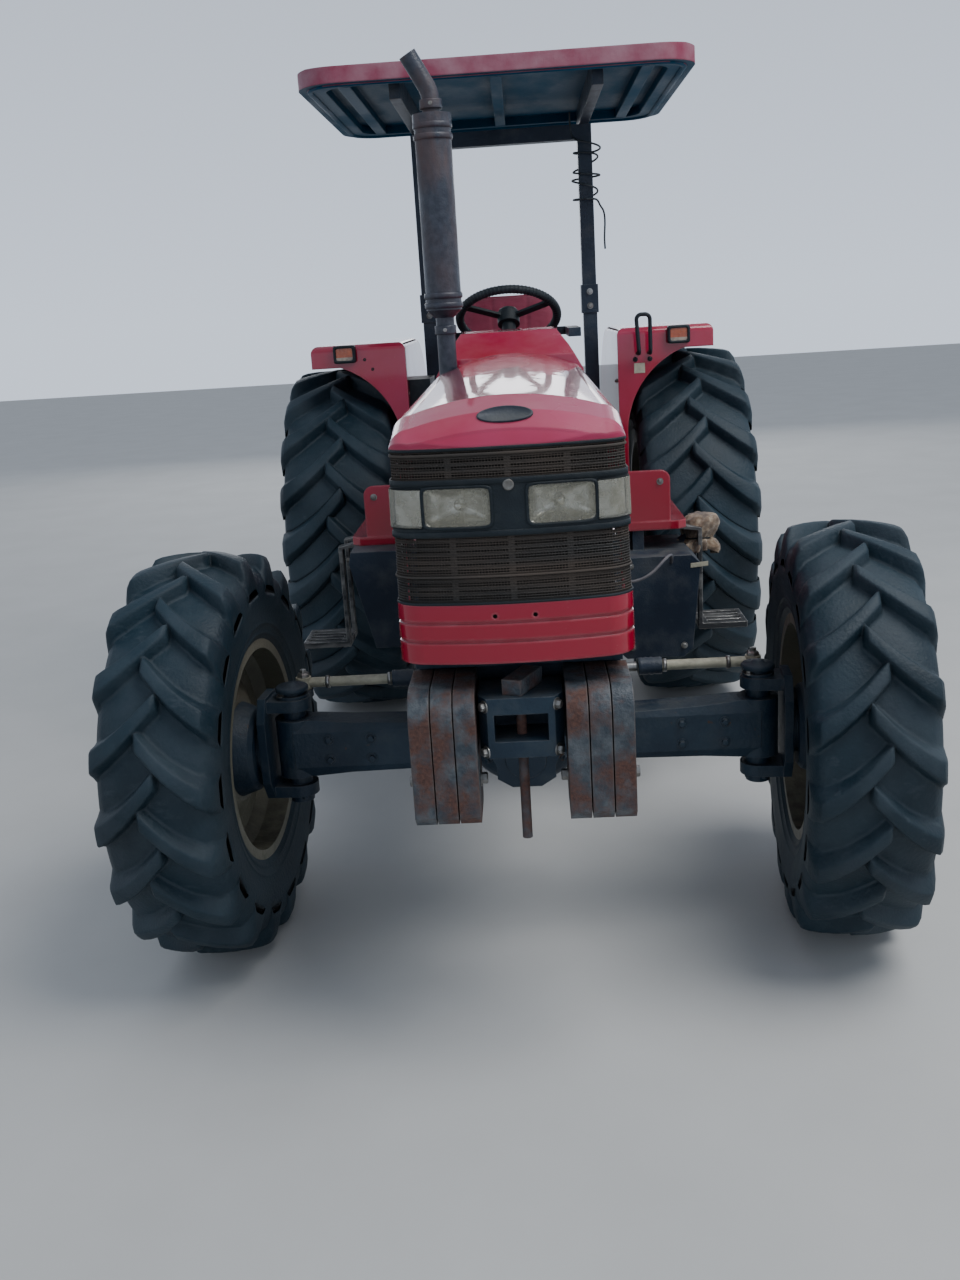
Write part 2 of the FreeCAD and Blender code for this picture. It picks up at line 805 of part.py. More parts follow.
pin_holes = [rod("beam_bore_%d_%d" % (side + 1, end + 1), "z", (end * 40, end * 120), (side * kingpin_x, 0),
                 s.kingpin_radius + 0.05) for side in (1, -1) for end in (1, -1)]
beam = cut("front_axle_beam_bored", beam, pin_holes)
node("front_axle_beam", place(beam, 0, front_y, beam_z))

# Front frame: rails bolted to the engine, a wide front plate, the radiator's deck and the axle's hangers.
rail = s.frame_rail_x
deck = s.deck_half_width
frame_parts = [
    block("frame_deck", (-deck, deck), (radiator_y - s.deck_front, radiator_y + s.deck_back),
          (frame_high, frame_high + s.deck_thickness)),
    prism("frame_plate", "xz", [(-rail, frame_low), (rail, frame_low), (deck - 12, frame_low + 30),
                                (deck, frame_high), (-deck, frame_high), (-deck + 12, frame_low + 30)],
          (frame_front, frame_front + s.hanger_thickness)),
]
rail_end = engine_front + s.rail_lap
for side in (1, -1):
    frame_parts.append(prism("frame_rail_%d" % (side + 1), "yz", [
        (frame_front, frame_low), (rail_end, frame_low), (rail_end, frame_high - 60),
        (radiator_y + s.deck_back, frame_high), (frame_front, frame_high)], (side * rail_in, side * rail)))
for end in (1, -1):
    near = front_y + end * s.hanger_gap
    frame_parts.append(prism("frame_hanger_%d" % (end + 1), "xz", [
        (-rail, frame_low + 60), (-rail, frame_low - 50), (-s.trunnion_radius - 25, beam_z - 20),
        (-s.trunnion_radius - 25, beam_z - 55), (-40, beam_z - s.trunnion_radius - 25),
        (40, beam_z - s.trunnion_radius - 25), (s.trunnion_radius + 25, beam_z - 55),
        (s.trunnion_radius + 25, beam_z - 20), (rail, frame_low - 50), (rail, frame_low + 60)],
        (near, near + end * s.hanger_thickness)))
front_frame = fuse("front_frame_welded", frame_parts)
trunnion_hole = rod("frame_trunnion_hole", "y", (front_y - s.trunnion_half - 15,
                    front_y + s.trunnion_half + 15),
                    (0, beam_z), s.trunnion_radius + s.fit_gap)
node("front_frame", cut("front_frame_bored", front_frame, [trunnion_hole]))

# Engine: one block with its head and sump, and the starter, filter, pump and alternator on its sides.
half_width = s.engine_half_width
case_half = rail_in - s.fit_gap
node("engine_block", fuse("engine_block_cast", [
    prism("engine_crankcase", "xz", [
        (-case_half + 35, sump_z), (case_half - 35, sump_z), (case_half, sump_z + 70),
        (case_half, frame_high),
        (-case_half, frame_high), (-case_half, sump_z + 70)], (engine_front, engine_back)),
    block("engine_cylinders", (-half_width, half_width), (engine_front + 20, engine_back - 20),
          (frame_high, engine_top - s.head_height)),
    block("engine_head", (-half_width + 15, half_width - 15), (engine_front + 40, engine_back - 40),
          (engine_top - s.head_height, engine_top - 40)),
    block("engine_valve_cover", (-70, 70), (engine_front + 70, engine_back - 70),
        (engine_top - 45, engine_top)),
    rod("engine_starter", "y", (engine_back - 190, engine_back - 10), (-half_width - 25, frame_low + 30), 45),
    rod("engine_filter", "z", (frame_low - 70, frame_low + 40), (half_width + 20, engine_back - 310), 40),
    block("engine_pump", (half_width - 30, half_width + 55), (engine_back - 430, engine_back - 270),
          (frame_low + 90, frame_low + 180)),
    rod("engine_alternator", "y", (engine_front + 20, engine_front + 150),
        (half_width + 35, frame_high + 165), 48),
]))

# Gearbox: the clutch bell behind the engine, narrowing to the gear case, with a cover on each side.
bell = s.bell_half_width
gear = s.gearbox_half_width
node("gearbox_housing", fuse("gearbox_cast", [
    prism("gearbox_bell", "xy", [
        (-bell, engine_back + s.fit_gap), (bell, engine_back + s.fit_gap), (bell, engine_back + 150),
        (gear, engine_back + 330), (gear, gear_y - s.fit_gap), (-gear, gear_y - s.fit_gap),
        (-gear, engine_back + 330), (-bell, engine_back + 150)], (gearbox_low, under_floor)),
    rod("gearbox_cover", "x", (-gear - 14, gear + 14), (engine_back + 560, gearbox_low + 230), 120),
]))

# Rear axle: the differential case with a brake housing and a tapered trumpet on each side.
axle_parts = [prism("axle_case", "yz", [
    (gear_y, gearbox_low), (gear_y + 60, case_low), (case_back, case_low), (case_back, case_high - 60),
    (case_back - 60, case_high), (gear_y, case_high)], (-s.axle_case_half, s.axle_case_half))]
top_link = (case_back + s.top_link_setback, case_high - s.top_link_drop)
for side in (1, -1):
    brake = side * (s.axle_case_half - 15)
    neck = side * (flange_x - 70)
    face = side * (flange_x - 45)
    axle_parts.append(turned("axle_trumpet_%d" % (side + 1), "x", [
        (brake, 0), (brake, s.brake_radius), (brake + side * 100, s.brake_radius),
        (brake + side * 120, s.trumpet_radius + 30), (neck, s.trumpet_radius), (neck, 118), (face, 118),
        (face, 0)]))
    place(axle_parts[-1], 0, rear_y, s.rear_tyre_radius)
    axle_parts.append(block("axle_pad_%d" % (side + 1), (side * (post_x - 65), side * (post_x + 60)),
                            (rear_y - 70, rear_y + 70), (s.rear_tyre_radius,
                                s.rear_tyre_radius + s.pad_rise)))
    axle_parts.append(rod("axle_link_pin_%d" % (side + 1), "x", (brake, side * (s.link_front_x + 34)),
                          (rear_y + s.link_setback, gearbox_low + s.link_rise), s.link_pin_radius))
    axle_parts.append(block("axle_top_link_ear_%d" % (side + 1), (side * 26, side * 40),
                            (case_back - 5, top_link[0] + 26), (top_link[1] - 32, top_link[1] + 32)))
lift_axis = (rear_y + s.lift_shaft_setback, case_high - s.lift_shaft_drop)
axle_bores = [
    rod("axle_lift_bore", "x", (-300, 300), lift_axis, s.lift_shaft_radius + 0.05),
    rod("axle_top_link_bore", "x", (-60, 60), top_link, s.top_link_pin_radius),
]
node("rear_axle_housing", cut("rear_axle_bored", fuse("rear_axle_cast", axle_parts), axle_bores))


# Rear hubs: the axle shaft's flange, which the wheel's disc is bolted to.
def rear_hub(side, name):
    disc = side * (s.rear_track / 2 + s.rear_disc_offset)
    start = side * (flange_x - 45 + s.fit_gap)
    centre_hole = s.rear_hub_radius * 0.45 - s.fit_gap
    hub = turned("rear_hub_%s" % name, "x", [
        (start, 0), (start, 60), (disc - side * 22, 60), (disc - side * 22, s.rear_hub_radius),
        (disc - side * s.fit_gap, s.rear_hub_radius), (disc - side * s.fit_gap, centre_hole),
        (disc + side * 60, centre_hole), (disc + side * 66, 40), (disc + side * 66, 0)])
    place(hub, 0, rear_y, s.rear_tyre_radius)
    node("rear_hub_%s" % name, hub)


both(rear_hub)

# Drive shaft: the tube under the engine that covers the drive to the front axle.
node("drive_shaft", rod("drive_shaft_tube", "y", (front_y + s.trunnion_half + s.fit_gap, engine_back),
                        (0, shaft_z), s.shaft_radius))

# Weight bracket: the hook bar across the front, with the tow jaw in the middle.
jaw_half = s.jaw_half_width
jaw_front = bar_front - s.jaw_length
pin_y = jaw_front + s.jaw_pin_setback
bracket = fuse("weight_bracket_solid", [
    block("bracket_bar", (-s.bar_half_width, s.bar_half_width), (bar_front, bar_back), (frame_low, bar_high)),
    prism("bracket_jaw", "xy", [
        (-jaw_half + 20, jaw_front), (jaw_half - 20, jaw_front), (jaw_half, jaw_front + 35),
        (jaw_half, bar_front + 5),
        (-jaw_half, bar_front + 5), (-jaw_half, jaw_front + 35)], (frame_low + 5, bar_high + s.jaw_rise)),
    block("bracket_back", (-jaw_half, jaw_half), (bar_back, frame_front - s.fit_gap), (frame_low, bar_high)),
])
node("weight_bracket", cut("weight_bracket_cut", bracket, [
    block("bracket_mouth", (-s.mouth_half_width, s.mouth_half_width), (jaw_front - 10, bar_front - 25),
          (frame_low + 45, bar_high - 25)),
    rod("bracket_pin_hole", "z", (frame_low - 50, bar_high + 50), (0, pin_y), s.tow_pin_radius + s.fit_gap)]))

# Tow pin: a round pin dropped through the jaw, with a flat handle on top turned a little to one side.
pin_top = bar_high + s.jaw_rise + s.fit_gap
handle = block("tow_pin_handle", (-24, 24), (-45, 75), (0, 37))
handle.Placement = FreeCAD.Placement(FreeCAD.Vector(0, n(pin_y), n(pin_top)),
                                     FreeCAD.Rotation(FreeCAD.Vector(0, 0, 1), -s.handle_turn.number),
                                     FreeCAD.Vector()).multiply(FreeCAD.Placement(FreeCAD.Vector(-24, -45, 0),
                                                                                  FreeCAD.Rotation()))
for letter in "xyz":
    handle.setExpression("Placement.Base." + letter, None)
node("tow_pin", fuse("tow_pin_whole", [
    rod("tow_pin_bar", "z", (pin_top - s.tow_pin_length, pin_top + 25), (0, pin_y), s.tow_pin_radius),
    handle]))

# Front weights: suitcase weights hooked side by side over the bar, three on each side.
weight_front = front_y - s.front_overhang
weight_low = frame_low - s.weight_drop
weight_high = bar_high + s.weight_rise
weight_back = bar_back + s.bar_back_gap - 3
hook_z = bar_high - s.weight_hook
weight_solids = []
for side in (1, -1):
    for number in range(3):
        near = side * (s.weight_inner_x + number * s.weight_pitch)
        weight_solids.append(prism("front_weight_%d_%d" % (side + 1, number), "yz", [
            (weight_front + 25, weight_low), (bar_front - 16, weight_low), (bar_front - 0.5, weight_low + 15),
            (bar_front - 0.5, bar_high + s.fit_gap), (bar_back + 0.5, bar_high + s.fit_gap),
            (bar_back + 0.5, hook_z), (weight_back, hook_z), (weight_back, weight_high - 20),
            (weight_back - 20, weight_high), (weight_front + 70, weight_high),
            Via((weight_front + 20, weight_high - 20)), (weight_front, weight_high - 70),
            (weight_front, weight_low + 25)],
            (near, near + side * s.weight_thickness)))
node("front_weights", group("front_weights_set", weight_solids))

# Radiator: core and tanks behind the grille, and the fan's round shroud.
radiator_back = radiator_y + s.radiator_depth
radiator_low = frame_high + s.deck_thickness + s.fit_gap
radiator_high = crown_z - s.radiator_drop
node("radiator", fuse("radiator_whole", [
    block("radiator_core", (-s.radiator_half_width, s.radiator_half_width), (radiator_y, radiator_back),
          (radiator_low, radiator_high)),
    rod("radiator_shroud", "y", (radiator_back - 5, radiator_back + 45),
        (0, (radiator_low + radiator_high) / 2),
        s.radiator_half_width - 20),
]))


# Hood: a long pressed shell with a crowned top, rounded nose and corners, split at the front where the
# red nose, the two mesh grilles, the lamp panel and the red valance meet.
HOOD = (
    # y behind the front face, narrower than the foot, drop of the shoulder, drop of the crown
    (0, 0, 163, 135),
    (18, 0, 125, 97),
    (60, 1, 93, 62),
    (150, 2, 69, 35),
    (1555, 16, 40, 0),
)
WAIST = 10
hood_length = hood_back - hood_front
reach = s.hood_half_width + 128
hood_forms = {}


def hood_form(inset):
    """The hood's whole outer form, moved inwards, or outwards if negative; each is built once and shared."""
    inset = known(inset)
    if inset.number in hood_forms:
        return hood_forms[inset.number]
    name = "hood_form_%d" % len(hood_forms)
    sections = []
    for number, (back, narrower, shoulder_drop, crown_drop) in enumerate(HOOD):
        foot = s.hood_half_width - narrower - inset
        shoulder = foot - WAIST
        side_top, top = crown_z - shoulder_drop - inset, crown_z - crown_drop - inset
        sketch = doc.addObject("Sketcher::SketchObject", "%s_section_%d" % (name, number))
        drawn(sketch, [(-foot, hood_low - 5), (foot, hood_low - 5), (shoulder, side_top - 45),
                       Via((shoulder - 14, side_top - 14)), (shoulder - 45, side_top), Via((known(0), top)),
                       (-shoulder + 45, side_top), Via((-shoulder + 14, side_top - 14)),
                       (-shoulder, side_top - 45)])
        station = hood_back - hood_length * (1 - back / 1555)
        if number == 0:
            station = station + inset
        place(sketch, 0, station, 0, (1, 0, 0), 90)
        sections.append(sketch)
    loft = doc.addObject("Part::Loft", name + "_loft")
    loft.Sections = sections
    loft.Solid = True
    loft.Ruled = True
    corner = s.hood_corner
    half = s.hood_half_width - inset
    face = hood_front + inset
    near = face + 30 + corner * 0.3
    plan = prism(name + "_plan", "xy", [
        (-half, hood_back + 50), (-half, face + 30 + corner), Via((-half + corner * 0.3, near)),
        (-half + corner, face + 22), Via((known(0), face)), (half - corner, face + 22),
        Via((half - corner * 0.3, near)), (half, face + 30 + corner), (half, hood_back + 50)],
        (hood_low - 20, crown_z + 75))
    hood_forms[inset.number] = common(name, [loft, plan])
    return hood_forms[inset.number]


def front_slab(name, low, high):
    """A level slab across the hood's front end."""
    return block(name, (-reach, reach), (hood_front - 60, hood_front + s.band_reach), (low, high))


def band(name, low, high, deep=0):
    """The front wall's slice between two heights, set back by some depth."""
    wall = cut(name + "_wall", hood_form(deep), [hood_form(s.wall + deep)])
    return common(name, [wall, front_slab(name + "_slice", low, high)])


side_trim = prism("hood_side_trim", "yz", [
    (hood_front - 60, hood_low - 100), (hood_back + 60, hood_low - 100), (hood_back + 60, hood_low + 185),
    (hood_front + 300, hood_low + 55), (hood_front + s.band_reach, grille_high),
    (hood_front - 60, grille_high)], (-reach, reach))
exhaust_y = hood_back - s.exhaust_gap
openings = [side_trim, block("hood_exhaust_slot", (s.exhaust_x - 37, s.exhaust_x + 37),
                             (exhaust_y - 87, exhaust_y + 37), (crown_z - 125, crown_z + 75))]
louvre_y = hood_front + s.louvre_setback
for number in range(5):
    low = grille_low + 60 + s.louvre_pitch * number
    openings.append(block("hood_louvre_%d" % number, (-reach, reach), (louvre_y, louvre_y + s.louvre_length),
                          (low, low + s.louvre_height)))
hinge_y = hood_back + s.hinge_setback
tabs = []
tab_bores = []
for side in (1, -1):
    span = (side * 62, side * 90)
    tabs.append(rod("hood_tab_barrel_%d" % (side + 1), "x", span, (hinge_y, hinge_z),
        s.hinge_radius + s.hinge_wall))
    tabs.append(block("hood_tab_arm_%d" % (side + 1), span, (hood_back - 40, hinge_y),
        (hinge_z, hinge_z + 13)))
    tabs.append(block("hood_tab_riser_%d" % (side + 1), span, (hood_back - 40, hood_back - 5),
                      (hinge_z, hinge_z + 18)))
    tab_bores.append(rod("hood_tab_bore_%d" % (side + 1), "x", (side * 50, side * 95), (hinge_y, hinge_z),
                         s.hinge_radius + 0.1))
shell = cut("hood_shell_wall", hood_form(0), [hood_form(s.wall)])
hood_open = cut("hood_shell_open", shell, openings)
node("hood_shell", cut("hood_shell_hinged", fuse("hood_shell_tabbed", [hood_open] + tabs), tab_bores))

# Valance: the red lower front, with two pressed grooves and two small holes.
split = s.fit_gap
groove_skin = cut("valance_groove_skin", hood_form(0), [hood_form(s.wall / 2)])
grooves = [common("valance_groove_%d" % number, [groove_skin, front_slab(
    "valance_groove_slab_%d" % number, hood_low + up, hood_low + up + s.groove_height)])
    for number, up in enumerate((48, 92))]
valance_holes = [rod("valance_hole_%d" % (side + 1), "y", (hood_front - 20, hood_front + 40),
                     (side * 45, hood_low + 110), 5) for side in (1, -1)]
node("valance", cut("valance_pressed", band("valance_band", hood_low, grille_low - split),
    grooves + valance_holes))

# Lamp panel and front lamps: a head lamp and a wrapped corner lamp on each side.
LAMPS = (
    # name, inner x, outer x
    ("head", s.head_lamp_inner, s.head_lamp_outer),
    ("corner", s.corner_lamp_inner, s.hood_half_width + 28),
)
lens_low, lens_high = lamp_low + s.lamp_sill, lamp_high - s.lamp_head
lens_skin = band("front_lens_band", lens_low + s.fit_gap, lens_high - s.fit_gap, -s.wall / 2)
lens_solids = []
lens_holes = []
for lamp, inner_x, outer_x in LAMPS:
    for side in (1, -1):
        lens_holes.append(block("%s_lamp_hole_%d" % (lamp, side + 1), (side * inner_x, side * outer_x),
                                (hood_front - 60, hood_front + 130), (lens_low, lens_high)))
        lens_solids.append(common("%s_lens_%d" % (lamp, side + 1), [lens_skin, block(
            "%s_lens_%d_slice" % (lamp, side + 1), (side * (inner_x + s.fit_gap),
                side * (outer_x - s.fit_gap)),
            (hood_front - 60, hood_front + 129), (lens_low, lens_high))]))
node("lamp_panel", cut("lamp_panel_cut", band("lamp_panel_band", lamp_low + split, lamp_high - split),
    lens_holes))
node("front_lamps", group("front_lamp_set", lens_solids))


# Grilles: level bars in a frame, tied by upright webs.
def grille(name, low, high):
    rows = int(round((n(high) - n(low) - 2 * n(s.grille_edge)) / n(s.bar_pitch)))
    bars = [front_slab(name + "_bottom", low, low + s.grille_edge),
        front_slab(name + "_top", high - s.grille_edge, high)]
    for number in range(1, rows):
        height = low + s.grille_edge + s.bar_pitch * number - (s.bar_pitch - s.bar_gap) / 2
        bars.append(front_slab("%s_bar_%d" % (name, number), height, height + (s.bar_pitch - s.bar_gap)))
    for number, x in enumerate((0, -s.web_x, s.web_x)):
        bars.append(block("%s_web_%d" % (name, number), (x - 6, x + 6),
            (hood_front - 60, hood_front + 60), (low, high)))
    for end, (near, far) in enumerate(((s.band_reach - 22, s.band_reach), (70, 92))):
        bars.append(block("%s_side_%d" % (name, end), (-reach, reach), (hood_front + near, hood_front + far),
                          (low, high)))
    node(name, common(name + "_barred", [band(name + "_band", low, high, s.grille_inset),
        fuse(name + "_bars", bars)]))


grille("grille_lower", grille_low, lamp_low)
grille("grille_upper", lamp_high, grille_high - split)

# Exhaust: a manifold, an upright pipe through the hood, a long round muffler and a curved open outlet.
muffler_low = crown_z + s.muffler_rise
muffler_high = muffler_low + s.muffler_length
pipe_at = (s.exhaust_x, exhaust_y)
head_side = -half_width + 15 - s.fit_gap
outlet = [(s.exhaust_x, exhaust_y, muffler_high), (s.exhaust_x, exhaust_y, muffler_high + 85),
          (s.exhaust_x - 62, exhaust_y - 20, muffler_high + 195)]
exhaust = fuse("exhaust_whole", [
    rod("exhaust_pipe", "z", (engine_top - 120, muffler_low + 5), pipe_at, s.exhaust_pipe_radius),
    rod("exhaust_muffler", "z", (muffler_low, muffler_high), pipe_at, s.muffler_radius),
    rod("exhaust_shoulder", "z", (muffler_low - 24, muffler_low + 1), pipe_at, s.exhaust_pipe_radius,
        s.muffler_radius),
    rod("exhaust_collar", "z", (muffler_high - 5, muffler_high + 22), pipe_at, s.muffler_radius + 4),
    bent_bar("exhaust_outlet", outlet, s.tail_pipe_radius, 90),
    rod("exhaust_elbow", "x", (s.exhaust_x, head_side), (exhaust_y, engine_top - 100), s.exhaust_pipe_radius),
    block("exhaust_manifold", (head_side - 45, head_side), (exhaust_y - 430, exhaust_y + 20),
          (engine_top - 130, engine_top - 75)),
])
node("exhaust", cut("exhaust_open", exhaust, [
    bent_bar("exhaust_outlet_bore", [outlet[0], outlet[1],
             (s.exhaust_x - 66, exhaust_y - 21.3, muffler_high + 202)],
             s.tail_pipe_radius - s.tail_pipe_wall, 90)]))

# Dash cowl: the housing behind the hood that carries the gauges and the column.
cowl_rear = cowl_front + s.cowl_length
cowl_foot = s.floor_high + s.fit_gap
cowl_half = s.cowl_half_width
cowl_side = prism("cowl_side", "yz", [
    (cowl_front, cowl_foot), (cowl_front + 240, cowl_foot), (cowl_rear - 60, s.floor_high + 280),
    (cowl_rear, cowl_high - 55), (cowl_rear - 40, cowl_high), (cowl_front + 190, cowl_high - 4),
    (cowl_front, cowl_high - 83)], (-cowl_half - 50, cowl_half + 50))
cowl_face = prism("cowl_face", "xz", [
    (-cowl_half, s.floor_high - 20), (cowl_half, s.floor_high - 20), (cowl_half, cowl_high - 135),
    (cowl_half - 45, cowl_high - 55), (cowl_half - 85, cowl_high), Via((known(0), cowl_high + 12)),
    (-cowl_half + 85, cowl_high), (-cowl_half + 45, cowl_high - 55), (-cowl_half, cowl_high - 135)],
    (cowl_front - 50, cowl_rear + 50))
hinge = [block("cowl_hinge_ear_%d" % (side + 1), (side * 96, side * 110), (hinge_y - 8.5, cowl_front + 5),
               (hinge_z - 8.5, hinge_z + 3)) for side in (1, -1)]
hinge.append(rod("cowl_hinge_rod", "x", (-98, 98), (hinge_y, hinge_z), s.hinge_radius))
dash_cowl = fuse("dash_cowl_whole", [common("dash_cowl_form", [cowl_side, cowl_face])] + hinge)
node("dash_cowl", dash_cowl)

# Steering column and wheel: the wheel's plane is tilted towards the seat.
tilt = math.radians(n(s.wheel_tilt))
column_axis = FreeCAD.Vector(0, math.sin(tilt), math.cos(tilt))
centre = FreeCAD.Vector(0, n(cowl_rear + s.wheel_reach), n(cowl_high + s.wheel_rise))
column_end = centre - column_axis * 32
column = doc.addObject("Part::Cylinder", "steering_column_tube")
bind(column, "Radius", s.column_radius)
bind(column, "Height", s.column_length)
column.Placement = FreeCAD.Placement(column_end - column_axis * n(s.column_length),
                                     FreeCAD.Rotation(FreeCAD.Vector(0, 0, 1), column_axis))
node("steering_column", cut("steering_column_seated", column, [dash_cowl]))
ring = doc.addObject("Part::Torus", "steering_ring")
ring_radius = s.steering_wheel_radius - s.wheel_rim_radius
bind(ring, "Radius1", ring_radius)
bind(ring, "Radius2", s.wheel_rim_radius)
hub_parts = [ring, rod("steering_hub", "z", (-31, 12), (0, 0), 42)]
for number in range(3):
    spoke = block("steering_spoke_%d" % number, (0, ring_radius), (-14, 14), (-8, 2))
    for letter in "xyz":
        spoke.setExpression("Placement.Base." + letter, None)
    turn = FreeCAD.Placement(FreeCAD.Vector(), FreeCAD.Rotation(FreeCAD.Vector(0, 0, 1), 90 + 120 * number))
    spoke.Placement = turn.multiply(FreeCAD.Placement(FreeCAD.Vector(0, -14, -8), FreeCAD.Rotation()))
    hub_parts.append(spoke)
steering_wheel = fuse("steering_wheel_whole", hub_parts)
steering_wheel.Placement = FreeCAD.Placement(centre, FreeCAD.Rotation(FreeCAD.Vector(0, 0, 1), column_axis))
node("steering_wheel", steering_wheel)

# Platform: the driver's floor, narrowed between the rear tyres, with a splash panel at each front corner.
wide, narrow = s.floor_half_width, fender_in + 14
tyre_front = rear_y - s.rear_tyre_radius
neck_front, neck_back = tyre_front - 6 * s.tyre_gap, tyre_front - s.tyre_gap
floor_back = rear_y - s.axle_case_front - 90
platform_parts = [prism("platform_floor", "xy", [
    (-wide + s.floor_edge, floor_front), (wide - s.floor_edge, floor_front),
    (wide, floor_front + s.floor_edge),
    (wide, neck_front), (narrow, neck_back), (narrow, floor_back), (-narrow, floor_back),
    (-narrow, neck_back),
    (-wide, neck_front), (-wide, floor_front + s.floor_edge)],
    (s.floor_high - s.floor_thickness, s.floor_high))]
for side in (1, -1):
    edge_in, edge_out = side * (cowl_half + 12), side * (wide - 55)
    splash_high = s.floor_high + s.splash_height
    platform_parts.append(prism("platform_splash_%d" % (side + 1), "xz", [
        (edge_in, s.floor_high - 5), (edge_out, s.floor_high - 5), (edge_out, splash_high - 35),
        Via((edge_out - side * 10, splash_high - 10)), (edge_out - side * 35, splash_high),
        (edge_in, splash_high)],
        (floor_front + 2, floor_front + 2 + s.wall)))
node("platform", fuse("platform_whole", platform_parts))

# Battery box: hung under the platform on the right, its outer side leaning in towards the foot.
box_front = floor_front - s.box_lead
node("battery_box", prism("battery_box_case", "xz", [
    (-s.box_inner_x, under_floor - s.battery_height), (-s.battery_outer_x + s.battery_taper,
        under_floor - s.battery_height),
    (-s.battery_outer_x, under_floor - 40), (-s.battery_outer_x + 8, under_floor),
    (-s.box_inner_x, under_floor)],
    (box_front, box_front + s.battery_length)))

# Fuel tank: strapped under the platform on the left, with its filler neck leaning outwards.
tank_high = under_floor - s.strap_drop
tank_low = tank_high - s.tank_height
neck_y = box_front + s.neck_setback
node("fuel_tank", fuse("fuel_tank_whole", [
    prism("fuel_tank_case", "xz", [
        (s.box_inner_x + 20, tank_low), (s.tank_outer_x - s.tank_taper - 30, tank_low),
        (s.tank_outer_x - s.tank_taper, tank_low + 30), (s.tank_outer_x, tank_high - 30),
        (s.tank_outer_x - 30, tank_high), (s.box_inner_x, tank_high), (s.box_inner_x, tank_low + 20)],
        (box_front, box_front + s.box_length)),
    block("tank_strap_front", (s.box_inner_x + 60, s.box_inner_x + 100), (box_front + 130, box_front + 170),
          (tank_high - 5, under_floor)),
    block("tank_strap_back", (s.box_inner_x + 60, s.box_inner_x + 100), (box_front + 330, box_front + 370),
          (tank_high - 5, under_floor)),
    bent_bar("tank_neck", [(s.tank_outer_x - 50, neck_y, tank_high - 45),
                           (s.tank_outer_x - 10, neck_y, tank_high),
                           (s.tank_outer_x + 32, neck_y, tank_high + 70)], s.neck_radius, 40),
]))

# Steps: a slotted tread on each side, hung from the platform by two cranked straps.
tread_low = under_floor - s.step_drop
step_back = floor_front + s.step_setback + s.step_length
step_front = step_back - s.step_length
step_solids = []
for side in (1, -1):
    tread = cut("step_tread_%d" % (side + 1), block("step_plate_%d" % (side + 1), (
        side * s.step_inner_x, side * s.step_outer_x), (step_front, step_back),
        (tread_low, tread_low + s.step_thickness)),
        [block("step_slot_%d_%d" % (side + 1, number), (side * (s.step_inner_x + 34),
               side * (s.step_outer_x - 16)),
               (step_front + 24 + 40 * number, step_front + 48 + 40 * number),
               (tread_low - 5, tread_low + 60))
         for number in range(4)])
    straps = [prism("step_strap_%d_%d" % (side + 1, number), "xz", [
        (side * (s.floor_half_width - 40), under_floor), (side * (s.floor_half_width - 40), under_floor - 12),
        (side * s.step_inner_x, under_floor - 24), (side * s.step_inner_x, tread_low),
        (side * (s.step_inner_x + 14), tread_low), (side * (s.step_inner_x + 14), under_floor - 16),
        (side * (s.floor_half_width - 10), under_floor)], (near, near + 40))
        for number, near in enumerate((step_front, step_back - 40))]
    step_solids.append(fuse("step_%d" % (side + 1), [tread] + straps))
node("steps", group("steps_pair", step_solids))


# Fenders: a pressed arch over the tyre with a lip at its outer edge, an upright inner wall that stands on
# the platform, and a front panel cut round the tyre.
def arch(name, inset, x_span):
    """The fender's outline from the side, moved inwards: front face, rounded corner, flat top and arc."""
    front = fender_front + inset
    top = fender_high - inset
    rim = fender_radius - inset
    corner = s.fender_corner
    foot = s.floor_high + s.fit_gap - inset * 2
    z = s.rear_tyre_radius
    return prism(name, "yz", [
        (front, foot), (rear_y + rim * 0.9397, foot), (rear_y + rim * 0.9397, z + rim * 0.342),
        Via((rear_y + rim * 0.6293, z + rim * 0.7771)), (rear_y + rim * 0.134, top), (front + corner, top),
        Via((front + corner * 0.293, top - corner * 0.293)), (front, top - corner)], x_span)


def fender(side, name):
    skin = arch("fender_%s_skin" % name, known(0), (side * fender_in, side * fender_out))
    corner = s.fender_corner
    inner, outer = side * fender_in, side * fender_out
    low = s.floor_high - 60
    face = prism("fender_%s_face" % name, "xz", [
        (inner, low), (outer, low), (outer, fender_high - corner),
        Via((outer - side * corner * 0.293, fender_high - corner * 0.293)),
        (outer - side * corner, fender_high),
        (inner + side * corner, fender_high), Via((inner + side * corner * 0.293,
            fender_high - corner * 0.293)),
        (inner, fender_high - corner)], (fender_front - 20, rear_end))
    well = arch("fender_%s_well" % name, s.wall, (side * (fender_in + s.wall), side * (fender_out - s.wall)))
    mouth_side = arch("fender_%s_open_side" % name, s.fender_lip,
        (side * (fender_in + s.wall), side * (fender_out + 20)))
    arch_foot = fender_high - s.arch_drop - 114
    arch_head = fender_high - 90
    leg = fender_in + s.fender_leg
    mouth = prism("fender_%s_mouth" % name, "xz", [
        (side * leg, low), (side * leg, arch_foot), Via((side * (leg + 94), arch_head - 92)),
        (side * (leg + 234), arch_head), (side * (fender_out + 30), arch_head),
        (side * (fender_out + 30), low)],
        (fender_front - 30, fender_front + 60))
    tail = prism("fender_%s_tail" % name, "yz", [
        (fender_front + 60, low), (rear_end, low), (rear_end, s.floor_high + 180),
        (rear_y + 640, s.floor_high + 60),
        (rear_y - 60, s.floor_high + s.fit_gap), (fender_front + 60, s.floor_high + s.fit_gap)],
        (side * (fender_in - 10), side * (fender_out + 30)))
    node("fender_%s" % name, cut("fender_%s_pressed" % name, common("fender_%s_form" % name, [skin, face]),
                                 [well, mouth_side, mouth, tail]))


both(fender)

